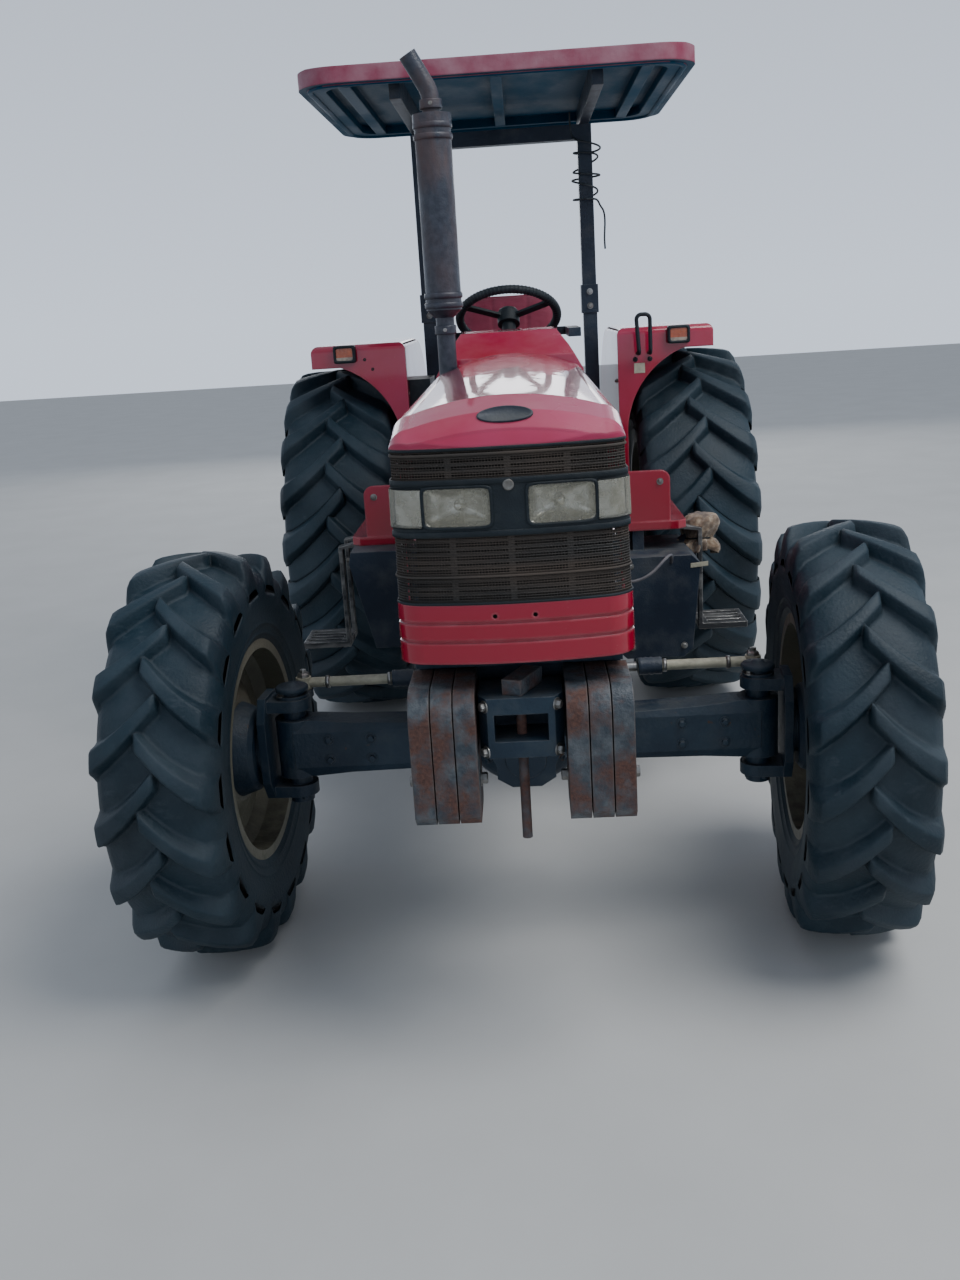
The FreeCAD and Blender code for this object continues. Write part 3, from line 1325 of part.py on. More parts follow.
# Fender lamps: an amber lens on each fender's front face.
lamp_x = (fender_in + s.fender_lamp_inner, fender_in + s.fender_lamp_outer)
node("fender_lamps", group("fender_lamp_pair", [
    block("fender_lamp_%d" % (side + 1), (side * lamp_x[0], side * lamp_x[1]),
          (fender_front - 32, fender_front - s.fit_gap), (fender_high - 64, fender_high - 8))
    for side in (1, -1)]))

# Grab handle: a bent rod on the left fender.
hand_in, hand_out = fender_in + 83, fender_in + 128
hand_y = fender_front - 60
hand_low, hand_top = fender_high - 102, fender_high + 50
node("grab_handle", bent_bar("grab_handle_bar", [
    (hand_in, fender_front - s.fit_gap, hand_low), (hand_in, hand_y, hand_low),
    (hand_in - 10, hand_y, hand_top),
    (hand_out, hand_y, hand_top), (hand_out, hand_y, hand_low),
    (hand_out, fender_front - s.fit_gap, hand_low)],
    s.handle_radius, 20))

# Seat: a pedestal on the axle case, a cushion, an upright back and two arm rests.
seat_front = rear_y - s.seat_reach
seat_back_y = seat_front + s.seat_length
seat_pan = seat_high - s.cushion_height
upright_y = seat_back_y + s.pad_thickness
arm_high = seat_high + s.arm_rest_rise + 30
node("seat_base", fuse("seat_base_whole", [
    block("seat_pedestal", (-150, 150), (rear_y - 300, rear_y - 120), (case_high + s.fit_gap, seat_pan - 28)),
    block("seat_pan", (-s.seat_half_width + 20, s.seat_half_width - 20), (seat_front + 30, seat_back_y - 20),
          (seat_pan - 30, seat_pan)),
    block("seat_spine", (-60, 60), (seat_back_y - 30, upright_y + 15), (seat_pan - 30, seat_pan)),
    block("seat_upright", (-60, 60), (upright_y, upright_y + 15),
        (seat_pan - 30, seat_high + s.seat_back_height - 160)),
    block("seat_cross", (-s.seat_half_width - 45, s.seat_half_width + 45), (upright_y, upright_y + 15),
          (arm_high - 35, arm_high)),
] + [block("seat_arm_%d" % (side + 1), (side * (s.seat_half_width + 5), side * (s.seat_half_width + 55)),
           (upright_y - 400, upright_y + 15), (arm_high - 35, arm_high)) for side in (1, -1)]))


def pad(name, low, high, corner, plane, span):
    """A cushion with cut corners between two corners of one plane."""
    (u0, v0), (u1, v1) = low, high
    return prism(name, plane, [
        (u0 + corner, v0), (u1 - corner, v0), (u1, v0 + corner), (u1, v1 - corner), (u1 - corner, v1),
        (u0 + corner, v1), (u0, v1 - corner), (u0, v0 + corner)], span)


seat_half = s.seat_half_width
node("seat_cushion", pad("seat_cushion_pad", (-seat_half, seat_front), (seat_half, seat_back_y),
                         s.seat_corner, "xy",
                         (seat_pan + s.fit_gap, seat_high)))
node("seat_back", pad("seat_back_pad", (-seat_half + 10, seat_high - 40),
                      (seat_half - 10, seat_high + s.seat_back_height - 40),
                      s.seat_corner, "xz", (seat_back_y + 5, upright_y - s.fit_gap)))

# Roll bar: two square posts on the axle trumpets joined by a cross tube, with sleeve joints half way up
# and arms under the roof.
rops = []
foot_z = s.rear_tyre_radius + s.pad_rise + s.fit_gap
post = s.post_size / 2
roof_front, roof_back = rear_y - s.roof_front, rear_y + s.roof_rear
for side in (1, -1):
    x = side * post_x
    rops.append(block("roll_post_%d" % (side + 1), (x - post, x + post), (rear_y - post, rear_y + post),
                      (foot_z, post_high)))
    rops.append(block("roll_sleeve_%d" % (side + 1), (x - post - 7, x + post + 7),
                      (rear_y - post - 7, rear_y + post + 7),
                      (seat_high + 330, seat_high + 450)))
    rops.append(block("roll_foot_%d" % (side + 1), (side * (post_x - 40), side * (post_x + 58)),
                      (rear_y - 68, rear_y + 68), (foot_z, foot_z + 16)))
    rops.append(block("roll_arm_%d" % (side + 1), (side * (post_x - 20), side * (post_x + 20)),
                      (roof_front + 120, roof_back - s.roof_rim - 15),
                      (post_high, roof_low + s.roof_recess - s.fit_gap)))
rops.append(block("roll_cross", (-post_x, post_x), (rear_y - post, rear_y + post),
    (post_high - s.post_size, post_high)))
node("roll_bar", fuse("roll_bar_whole", rops))


# Roof: a moulded canopy, crowned both ways, with rounded corners and a ribbed recess underneath.
def roof_plan(name, inset, span):
    half, corner = s.roof_half_width - inset, s.roof_corner - inset / 2
    front, back = roof_front + inset, roof_back - inset
    cut_in = corner * 0.293
    return prism(name, "xy", [
        (-half + corner, front), (half - corner, front), Via((half - cut_in, front + cut_in)),
        (half, front + corner), (half, back - corner), Via((half - cut_in, back - cut_in)),
        (half - corner, back), (-half + corner, back), Via((-half + cut_in, back - cut_in)),
        (-half, back - corner), (-half, front + corner), Via((-half + cut_in, front + cut_in))], span)


roof_high = roof_low + s.roof_thickness
edge_high = roof_high - s.roof_crown
across = s.roof_half_width + 10
crown_across = prism("roof_crown_across", "xz", [
    (-across, roof_low - 10), (across, roof_low - 10), (across, edge_high), Via((known(0), roof_high)),
    (-across, edge_high)], (roof_front - 10, roof_back + 10))
middle_y = (roof_front + roof_back) / 2
crown_along = prism("roof_crown_along", "yz", [
    (roof_front - 10, roof_low - 10), (roof_back + 10, roof_low - 10), (roof_back + 10, edge_high),
    Via((middle_y, roof_high)), (roof_front - 10, edge_high)], (-across, across))
recess = roof_plan("roof_recess", s.roof_rim, (roof_low - 20, roof_low + s.roof_recess))
ribs = [block("roof_rib_%d" % number, (x - 22, x + 22), (roof_front + 100, roof_back - 100),
              (roof_low - 25, roof_low + s.roof_recess + 5)) for number, x in enumerate((-530, 0, 530))]
node("roof", cut("roof_moulded", common("roof_slab", [
    roof_plan("roof_outline", known(0), (roof_low, roof_high)), crown_across, crown_along]),
    [cut("roof_recess_ribbed", recess, ribs)]))

# Controls: gear and range levers, three pedals hung over the floor and a console beside the seat.
deck_z = s.floor_high + s.fit_gap
lever_y = cowl_rear + 70
controls = [bent_bar(name, [(x, lever_y, deck_z), (x, lever_y, deck_z + 90),
    (x * 1.18, lever_y + 100, deck_z + top)], 9, 60)
            for name, x, top in (("gear_lever", 110, 400), ("range_lever", -110, 360))]
for name, x in (("clutch", 180), ("brake_inner", -170), ("brake_outer", -225)):
    controls.append(fuse(name + "_pedal", [
        block(name + "_arm", (x - 7, x + 7), (cowl_rear - 60, cowl_rear - 30), (deck_z, deck_z + 150)),
        block(name + "_plate", (x - 24, x + 24), (cowl_rear - 75, cowl_rear - 15),
            (deck_z + 145, deck_z + 157))]))
controls.append(block("side_console", (-fender_in + s.fit_gap, -fender_in + 90),
                      (fender_front + 60, fender_front + 330),
                      (seat_high - 10, seat_high + 110)))
node("controls", group("control_set", controls))

# Drawbar: a flat bar with a pin hole, held under the axle case by its hanger.
drawbar_low = case_low - s.drawbar_drop
bar_half = s.drawbar_width / 2
drawbar_end = rear_y + s.drawbar_reach
node("drawbar", cut("drawbar_bored", block("drawbar_plate", (-bar_half, bar_half),
                                           (rear_y - 150, drawbar_end),
                                           (drawbar_low, drawbar_low + s.drawbar_thickness)),
                    [rod("drawbar_bore", "z", (drawbar_low - 20, drawbar_low + 60),
                         (0, drawbar_end - s.drawbar_eye),
                         s.drawbar_bore_radius)]))
hanger_out = bar_half + 22
node("drawbar_hanger", fuse("drawbar_hanger_whole", [
    block("hanger_plate_%d" % (side + 1), (side * (bar_half + s.fit_gap), side * hanger_out),
          (rear_y + 90, rear_y + 170), (drawbar_low - 20, case_low - s.fit_gap)) for side in (1, -1)]
    + [block("hanger_foot", (-hanger_out, hanger_out), (rear_y + 90, rear_y + 170),
             (drawbar_low - 20, drawbar_low - s.fit_gap))]))

# Power take-off: the plain stub of the output shaft at the back of the axle case.
node("pto_shaft", rod("pto_stub", "y", (case_back + s.fit_gap, case_back + s.pto_length),
                      (0, case_low + s.pto_rise),
                      s.pto_radius))

# Steering cylinder and its rod, across the back of the beam.
rod_y = front_y + s.steering_arm
cylinder_half = kingpin_x - s.cylinder_inset
cylinder = fuse("cylinder_with_feet", [
    rod("cylinder_case", "x", (-cylinder_half, cylinder_half), (rod_y, steering_z), s.cylinder_radius)]
    + [block("cylinder_foot_%d" % (side + 1), (side * (cylinder_half - 38), side * (cylinder_half - 10)),
             (front_y + s.beam_half_depth + s.fit_gap, rod_y),
             (beam_z + 10, steering_z)) for side in (1, -1)])
node("steering_cylinder", cut("steering_cylinder_bored", cylinder, [
    rod("cylinder_bore", "x", (-cylinder_half - 10, cylinder_half + 10), (rod_y, steering_z),
        s.piston_radius + 0.05)]))
rod_shift = -s.steering_arm * Size(math.sin(math.radians(n(s.steer_angle))), "sin(Sizes.steer_angle)")
eye_back = s.steering_arm * Size(math.cos(math.radians(n(s.steer_angle))), "cos(Sizes.steer_angle)")
piston_end = kingpin_x - s.piston_inset
node("steering_rod", rod("steering_rod_bar", "x", (rod_shift - piston_end, rod_shift + piston_end),
                         (rod_y, steering_z), s.piston_radius))


def tie_rod(side, name):
    """A tie rod: its ball housing over the knuckle's eye, its bar, and the sleeve at the inner joint."""
    eye_x = side * kingpin_x + rod_shift
    eye_y = front_y + eye_back
    inner = rod_shift + side * (piston_end + s.boot_gap)
    node("tie_rod_%s" % name, fuse("tie_rod_%s_whole" % name, [
        rod("tie_rod_%s_housing" % name, "z", (arm_top + s.fit_gap, steering_z + s.ball_half_height),
            (eye_x, eye_y),
            s.ball_radius),
        rod("tie_rod_%s_sleeve" % name, "x", (inner, inner + side * s.boot_length), (eye_y, steering_z),
            s.boot_radius),
        rod("tie_rod_%s_bar" % name, "x", (inner + side * 20, eye_x), (eye_y, steering_z),
            s.tie_rod_radius)]))


both(tie_rod)

# Lift arms: the cross shaft through the axle case with an arm splined on each end.
arm_angle = n(s.lift_arm_angle)
arm_parts = [rod("lift_shaft", "x", (-s.lift_arm_x - 24, s.lift_arm_x + 24), (0, 0), s.lift_shaft_radius)]
arm_holes = []
for side in (1, -1):
    span = (side * (s.lift_arm_x - 12), side * (s.lift_arm_x + 12))
    arm_parts.append(rod("lift_boss_%d" % (side + 1), "x", span, (0, 0), s.lift_shaft_radius + 20))
    arm_parts.append(rod("lift_eye_%d" % (side + 1), "x", span, (s.lift_arm_length, 0), 30))
    arm_parts.append(prism("lift_blade_%d" % (side + 1), "yz", [
        (0, -48), (s.lift_arm_length, -30), (s.lift_arm_length, 30), (0, 48)], span))
    arm_holes.append(rod("lift_eye_bore_%d" % (side + 1), "x",
                         (side * (s.lift_arm_x - 40), side * (s.lift_arm_x + 40)),
                         (s.lift_arm_length, 0), s.lift_pin_radius + s.fit_gap))
lift_arms = cut("lift_arms_bored", fuse("lift_arms_whole", arm_parts), arm_holes)
node("lift_arms", place(lift_arms, 0, lift_axis[0], lift_axis[1], (1, 0, 0), s.lift_arm_angle))

# The lower links' pins, and where the lift rods hang between them and the lift arms.
link_y, link_z = rear_y + s.link_setback, gearbox_low + s.link_rise
run, fall = n(rear_end - s.link_eye_radius - link_y), n(s.link_drop)
link_length = math.hypot(run, fall)
link_angle = -math.degrees(math.asin(fall / link_length))
arm_end = FreeCAD.Vector(0, n(lift_axis[0]) + n(s.lift_arm_length) * math.cos(math.radians(arm_angle)),
                         n(lift_axis[1]) + n(s.lift_arm_length) * math.sin(math.radians(arm_angle)))
link_point = FreeCAD.Vector(0, n(link_y) + n(s.lift_rod_reach) * math.cos(math.radians(link_angle)),
                            n(link_z) + n(s.lift_rod_reach) * math.sin(math.radians(link_angle)))
lift_rod_length = (arm_end - link_point).Length
lift_rod_lean = math.degrees(math.atan2(link_point.y - arm_end.y, arm_end.z - link_point.z))


def hitch(side, name):
    """One lower link on its pin, and the lift rod between it and the lift arm."""
    front_x, rear_x = side * s.link_front_x, side * s.link_spread
    length = known(link_length)
    lift_x = front_x + (rear_x - front_x) * (s.lift_rod_reach / length)
    link = fuse("lower_link_%s_forged" % name, [
        prism("lower_link_%s_bar" % name, "xy", [
            (front_x - 10, 0), (front_x + 10, 0), (rear_x + 10, length), (rear_x - 10, length)], (-25, 25)),
        rod("lower_link_%s_front_eye" % name, "x", (front_x - 20, front_x + 20), (0, 0), s.link_eye_radius),
        rod("lower_link_%s_rear_eye" % name, "x", (rear_x - 22, rear_x + 22), (length, 0), s.link_eye_radius),
        rod("lower_link_%s_lift_pin" % name, "x", (lift_x - 38, lift_x + 38), (s.lift_rod_reach, 0),
            s.lift_pin_radius)])
    link = cut("lower_link_%s_bored" % name, link, [
        rod("lower_link_%s_front_bore" % name, "x", (front_x - 30, front_x + 30), (0, 0),
            s.link_pin_radius + s.fit_gap),
        rod("lower_link_%s_rear_bore" % name, "x", (rear_x - 30, rear_x + 30), (length, 0),
            s.link_bore_radius)])
    node("lower_link_%s" % name, place(link, 0, link_y, link_z, (1, 0, 0), link_angle))
    middle = side * s.lift_arm_x
    fork, low_fork = s.fork_inner, s.fork_inner + 6
    screw_length = known(lift_rod_length)
    ears = []
    for inner in (1, -1):
        ears.append(block("lift_rod_%s_top_ear_%d" % (name, inner + 1),
                          (middle + inner * fork, middle + inner * (fork + 10)), (-22, 22), (-92, 26)))
        ears.append(block("lift_rod_%s_low_ear_%d" % (name, inner + 1),
                          (middle + inner * low_fork, middle + inner * (low_fork + 10)), (-34, 34),
                          (-screw_length - 70, -screw_length + 110)))
    rod_solid = fuse("lift_rod_%s_whole" % name, ears + [
        rod("lift_rod_%s_pin" % name, "x", (middle - 33, middle + 33), (0, 0), s.lift_pin_radius),
        block("lift_rod_%s_top_bridge" % name, (middle - fork - 10, middle + fork + 10), (-22, 22),
            (-92, -70)),
        block("lift_rod_%s_low_bridge" % name, (middle - low_fork - 10, middle + low_fork + 10), (-34, 34),
              (-screw_length + 90, -screw_length + 110)),
        rod("lift_rod_%s_screw" % name, "z", (-screw_length + 100, -60), (middle, 0), 15)])
    slots = [block("lift_rod_%s_slot_%d" % (name, inner + 1), (middle + inner * 10, middle + inner * 44),
                   (-s.lift_pin_radius - 8, s.lift_pin_radius + 8), (-screw_length - 48, -screw_length + 48))
             for inner in (1, -1)]
    rod_solid = cut("lift_rod_%s_slotted" % name, rod_solid, slots)
    rod_solid.Placement = FreeCAD.Placement(arm_end, FreeCAD.Rotation(FreeCAD.Vector(1, 0, 0), lift_rod_lean))
    node("lift_rod_%s" % name, rod_solid)


both(hitch)

doc.recompute()
for item in doc.Objects:
    if "Invalid" in item.State or "Error" in item.State:
        raise RuntimeError("%s could not be built: %s" % (item.Name, item.State))
os.makedirs("parts", exist_ok=True)
for name, item in nodes.items():
    if item.Shape.isNull() or not item.Shape.isValid() or not item.Shape.Solids:
        raise RuntimeError("%s has no sound solid" % name)
    item.Shape.exportStep("parts/%s.step" % name)
print("%d pieces written" % len(nodes))
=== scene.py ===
import json
import math

import bmesh
import bpy
import numpy as np
from mathutils import Matrix, Vector


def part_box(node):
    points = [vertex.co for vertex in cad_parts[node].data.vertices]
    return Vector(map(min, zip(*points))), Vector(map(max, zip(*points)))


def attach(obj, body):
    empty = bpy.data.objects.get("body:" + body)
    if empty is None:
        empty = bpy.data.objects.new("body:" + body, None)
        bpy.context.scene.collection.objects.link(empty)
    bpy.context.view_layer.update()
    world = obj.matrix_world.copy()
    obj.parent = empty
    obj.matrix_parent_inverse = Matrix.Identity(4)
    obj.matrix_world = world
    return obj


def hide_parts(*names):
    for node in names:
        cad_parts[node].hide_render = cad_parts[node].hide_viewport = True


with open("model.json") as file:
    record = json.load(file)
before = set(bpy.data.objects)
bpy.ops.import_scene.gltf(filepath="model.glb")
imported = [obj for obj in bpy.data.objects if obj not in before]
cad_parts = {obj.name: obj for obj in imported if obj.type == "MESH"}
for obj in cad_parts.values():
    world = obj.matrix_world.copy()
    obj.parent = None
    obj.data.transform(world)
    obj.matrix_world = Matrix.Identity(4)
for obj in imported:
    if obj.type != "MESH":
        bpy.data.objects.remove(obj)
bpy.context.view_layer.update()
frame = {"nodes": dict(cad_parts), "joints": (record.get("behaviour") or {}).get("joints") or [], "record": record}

# Camera: held at eye height in front of the tractor, a little to its left, looking down at it.
eye = Vector((0.0431, -4.5314, 1.7828))
look_right = Vector((0.99767, 0.03116, -0.06069))
look_up = Vector((0.05016, 0.26814, 0.96207))
lens = bpy.data.cameras.new("camera")
lens.lens = 33.98
lens.sensor_width = 36
camera = bpy.data.objects.new("camera", lens)
turn = Matrix((look_right, look_up, look_right.cross(look_up))).transposed().to_4x4()
camera.matrix_world = Matrix.Translation(eye) @ turn
bpy.context.scene.collection.objects.link(camera)
bpy.context.scene.camera = camera


# Castings: engine, gearbox, axles, knuckles and front frame. Sand-cast iron under one dark blue-grey paint,
# rough to the touch, dusty on top and rubbed through to brown iron along the edges.
class Recipe:
    """Builds one material node by node; every mask is a number from 0 to 1 over the object's own
    coordinates."""

    def __init__(self, name):
        self.material = bpy.data.materials.new(name)
        self.material.use_nodes = True
        self.tree = self.material.node_tree
        self.shader = self.tree.nodes["Principled BSDF"]
        self.coords = self.tree.nodes.new("ShaderNodeTexCoord")
        self.rounded = None

    def link(self, source, target):
        self.tree.links.new(source, target)

    def noise(self, scale, low, high, detail=5, stretch=None, roughness=0.55):
        """Noise of that many features a metre, spread so that low gives 0 and high gives 1."""
        where = self.coords.outputs["Object"]
        if stretch:
            mapping = self.tree.nodes.new("ShaderNodeMapping")
            mapping.inputs["Scale"].default_value = stretch
            self.link(where, mapping.inputs["Vector"])
            where = mapping.outputs["Vector"]
        node = self.tree.nodes.new("ShaderNodeTexNoise")
        node.inputs["Scale"].default_value = scale
        node.inputs["Detail"].default_value = detail
        node.inputs["Roughness"].default_value = roughness
        self.link(where, node.inputs["Vector"])
        return self.spread(node.outputs["Fac"], low, high)

    def spread(self, value, low, high, bottom=0.0, top=1.0):
        """value spread so that low becomes bottom and high becomes top, and no further."""
        node = self.tree.nodes.new("ShaderNodeMapRange")
        for key, number in (("From Min", low), ("From Max", high), ("To Min", bottom), ("To Max", top)):
            node.inputs[key].default_value = number
        self.link(value, node.inputs["Value"])
        return node.outputs["Result"]

    def along(self, axis, low, high):
        """0 below low and 1 above high, in metres along x, y or z."""
        parts = self.tree.nodes.new("ShaderNodeSeparateXYZ")
        self.link(self.coords.outputs["Object"], parts.inputs["Vector"])
        return self.spread(parts.outputs["xyz".index(axis)], low, high)

    def facing(self, axis, low, high):
        """0 where the surface leans less towards the axis than low and 1 above high."""
        parts = self.tree.nodes.new("ShaderNodeSeparateXYZ")
        self.link(self.coords.outputs["Normal"], parts.inputs["Vector"])
        return self.spread(parts.outputs["xyz".index(axis)], low, high)

    def ridges(self, direction, scale):
        """A wave across the object, from 0 to 1; its scale is about 0.31 waves a metre for each unit."""
        wave = self.tree.nodes.new("ShaderNodeTexWave")
        wave.bands_direction = direction
        wave.inputs["Scale"].default_value = scale
        self.link(self.coords.outputs["Object"], wave.inputs["Vector"])
        return wave.outputs["Fac"]

    def edges(self, radius, low=0.03, high=0.16):
        """1 along the object's edges and 0 on its flats; the light is rounded over each edge too."""
        bevel = self.tree.nodes.new("ShaderNodeBevel")
        bevel.samples = 4
        bevel.inputs["Radius"].default_value = radius
        self.rounded = bevel.outputs["Normal"]
        surface = self.tree.nodes.new("ShaderNodeNewGeometry")
        turned_by = self.tree.nodes.new("ShaderNodeVectorMath")
        turned_by.operation = "DOT_PRODUCT"
        self.link(self.rounded, turned_by.inputs[0])
        self.link(surface.outputs["Normal"], turned_by.inputs[1])
        return self.spread(turned_by.outputs["Value"], 1 - low, 1 - high)

    def mix(self, kind, first, second):
        """first and second, each a mask or a number, joined by ADD, MULTIPLY, MAXIMUM or another sum."""
        node = self.tree.nodes.new("ShaderNodeMath")
        node.operation = kind
        node.use_clamp = True
        for socket, value in zip(node.inputs, (first, second)):
            if isinstance(value, (int, float)):
                socket.default_value = value
            else:
                self.link(value, socket)
        return node.outputs[0]

    def blend(self, mask, first, second):
        """first where the mask is 0 and second where it is 1; each is a colour or another blend."""
        node = self.tree.nodes.new("ShaderNodeMix")
        node.data_type = "RGBA"
        self.link(mask, node.inputs["Factor"])
        for key, value in (("A", first), ("B", second)):
            socket = [i for i in node.inputs if i.name == key and i.type == "RGBA"][0]
            if isinstance(value, tuple):
                socket.default_value = value + (1.0,)
            else:
                self.link(value, socket)
        return [o for o in node.outputs if o.type == "RGBA"][0]

    def rough(self, mask, clean, dirty):
        self.link(self.spread(mask, 0, 1, clean, dirty), self.shader.inputs["Roughness"])

    def bump(self, height, depth, strength=0.6):
        """Raises the surface by up to depth metres where height is 1."""
        node = self.tree.nodes.new("ShaderNodeBump")
        node.inputs["Distance"].default_value = depth
        node.inputs["Strength"].default_value = strength
        self.link(height, node.inputs["Height"])
        if self.rounded:
            self.link(self.rounded, node.inputs["Normal"])
        self.link(node.outputs["Normal"], self.shader.inputs["Normal"])

    def base(self, colour):
        self.link(colour, self.shader.inputs["Base Color"])

    def set(self, **values):
        for key, number in values.items():
            self.shader.inputs[key.replace("_", " ")].default_value = number


finish = {}


def weathered(slot, paint, faded, dirt, patch, gloss, dirt_high, grain, rust=None, rust_from=0.62, worn=None):
    """Paint that fades in patches, carries dirt on what faces up and in blotches, chips to rust and wears
    on edges."""
    coat = Recipe(slot)
    colour = coat.blend(coat.noise(patch, 0.40, 0.62), paint, faded)
    rubbed = coat.mix("MULTIPLY", coat.edges(0.004), coat.noise(patch * 8, 0.34, 0.56, detail=7))
    if worn:
        colour = coat.blend(rubbed, colour, worn)
    blotches = coat.noise(patch * 4, 0.50, 0.75)
    settled = coat.mix("MULTIPLY", coat.facing("z", 0.15, 0.95), coat.noise(patch * 6, 0.30, 0.65))
    dusty = coat.mix("MULTIPLY", coat.mix("MAXIMUM", settled, coat.mix("MULTIPLY", blotches, 0.6)), dirt_high)
    colour = coat.blend(dusty, colour, dirt)
    if rust:
        chips = coat.noise(patch * 9, rust_from, rust_from + 0.05, detail=8, roughness=0.65)
        colour = coat.blend(chips, colour, rust)
    coat.base(colour)
    coat.rough(dusty, gloss, 0.92)
    coat.bump(coat.noise(grain, 0.30, 0.70, detail=8), 0.0012)
    coat.set(Specular_IOR_Level=0.35)
    finish[slot] = coat.material


weathered("casting", (0.006, 0.018, 0.034), (0.016, 0.036, 0.058), (0.085, 0.086, 0.080), 3.0, 0.45, 0.45, 90,
          rust=(0.060, 0.035, 0.022), rust_from=0.66, worn=(0.085, 0.095, 0.105))


def quads(rows, columns, ring, tube):
    """Corner numbers of a grid's quads; ring joins its last row to the first, tube its last column to the
    first."""
    row = np.arange(rows if ring else rows - 1)[:, None]
    column = np.arange(columns if tube else columns - 1)[None, :]
    next_row, next_column = (row + 1) % rows, (column + 1) % columns
    corners = (row * columns + column, row * columns + next_column,
               next_row * columns + next_column, next_row * columns + column)
    return np.stack(corners, axis=-1).reshape(-1, 4)


def build(name, body, slot, shells, smooth=True, turn_out=True):
    """One mesh piece at the origin from grids of points, riding on a body.

    Each shell is points of shape (..., rows, columns, 3) and its marks: R where the rows close on
    themselves, C where the columns do, and E where the first and last row are filled in. Copies along the
    leading axes share one grid.
    """
    verts, faces, start = [], [], 0
    for points, marks in shells:
        points = np.asarray(points, float)
        rows, columns = points.shape[-3:-1]
        copies = points.reshape(-1, rows * columns, 3)
        starts = start + np.arange(len(copies)) * rows * columns
        grid = quads(rows, columns, "R" in marks, "C" in marks)
        faces += (grid[None] + starts[:, None, None]).reshape(-1, 4).tolist()
        if "E" in marks:
            rim = np.arange(columns)
            faces += (starts[:, None] + rim[::-1]).tolist()
            faces += (starts[:, None] + (rows - 1) * columns + rim).tolist()
        verts.append(copies.reshape(-1, 3))
        start += copies.shape[0] * copies.shape[1]
    mesh = bpy.data.meshes.new(name)
    mesh.from_pydata(np.concatenate(verts).tolist(), [], faces)
    work = bmesh.new()
    work.from_mesh(mesh)
    bmesh.ops.remove_doubles(work, verts=work.verts, dist=1e-6)
    if turn_out:
        bmesh.ops.recalc_face_normals(work, faces=work.faces)
    work.to_mesh(mesh)
    work.free()
    mesh.polygons.foreach_set("use_smooth", [smooth] * len(mesh.polygons))
    piece = bpy.data.objects.new(name, mesh)
    bpy.context.scene.collection.objects.link(piece)
    if body:
        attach(piece, body)
        mesh.materials.append(finish[slot])
    return piece


def softened(piece, width, segments=2, angle=32):
    """Rounds the piece's sharp edges by that width."""
    edge = piece.modifiers.new("soft", "BEVEL")
    edge.width = width
    edge.segments = segments
    edge.angle_limit = math.radians(angle)


def turned(profile, steps, start=0.0):
    """A profile of (radius, height) carried round the z axis: rows go round, columns along the profile."""
    radius, height = np.array(profile, float).T
    angle = start + np.linspace(0, 2 * math.pi, steps, endpoint=False)[:, None]
    return np.stack([radius * np.cos(angle), radius * np.sin(angle), height + 0 * angle], axis=-1)


def set_at(points, places, toward):
    """Copies of a shape that stands on z = 0 at the origin, stood at each place with its z axis turned
    toward."""
    places = np.atleast_2d(np.array(places, float))
    toward = np.broadcast_to(np.atleast_2d(np.array(toward, float)), places.shape)
    up = toward / np.linalg.norm(toward, axis=1, keepdims=True)
    spare = np.where(np.abs(up[:, 2:3]) < 0.9, np.array([[0.0, 0.0, 1.0]]), np.array([[1.0, 0.0, 0.0]]))
    side = np.cross(spare, up)
    side /= np.linalg.norm(side, axis=1, keepdims=True)
    frame_axes = np.stack([side, np.cross(up, side), up], axis=1)
    moved = np.einsum("...j,kji->k...i", points, frame_axes)
    return moved + places.reshape((-1,) + (1,) * (points.ndim - 1) + (3,))


def landed(node, spots):
    """Where rays from each spot meet a node: spots are rows of start x, y, z and direction x, y, z."""
    places, outward = [], []
    for x, y, z, dx, dy, dz in spots:
        ray = Vector((dx, dy, dz))
        hit, place, normal, _ = frame["nodes"][node].ray_cast(Vector((x, y, z)), ray.normalized())
        if hit:
            places.append(tuple(place))
            outward.append(tuple(normal if normal.dot(ray) < 0 else -normal))
    return places, outward


def bolts(name, node, body, slot, across, spots):
    """Hexagon heads on washers, seated where each spot's ray meets the node; across is the size over the
    flats."""
    places, outward = landed(node, spots)
    head = turned([(0, 0.0), (across * 0.577, 0.0), (across * 0.577, across * 0.50),
                   (across * 0.47, across * 0.60), (0, across * 0.62)], 6)
    washer = turned([(0, -0.001), (across * 0.85, -0.001), (across * 0.85, across * 0.10),
                     (0, across * 0.12)], 20)
    head[..., 2] += across * 0.10
    shells = [(set_at(head, places, outward), "R"), (set_at(washer, places, outward), "R")]
    build(name, body, slot, shells, smooth=False)


# Axle fasteners: zinc-plated hexagon bolts gone grey, round the axle's middle housing, up the front frame's
# rails and on the gearbox flanges; each is driven home on its washer.
steel = Recipe("bright_steel")
dulled = steel.noise(20, 0.40, 0.66, detail=7)
steel.base(steel.blend(dulled, (0.330, 0.330, 0.320), (0.120, 0.110, 0.095)))
steel.rough(dulled, 0.28, 0.62)
steel.bump(steel.noise(180, 0.3, 0.7), 0.0004)
steel.set(Metallic=0.8)
finish["bright_steel"] = steel.material


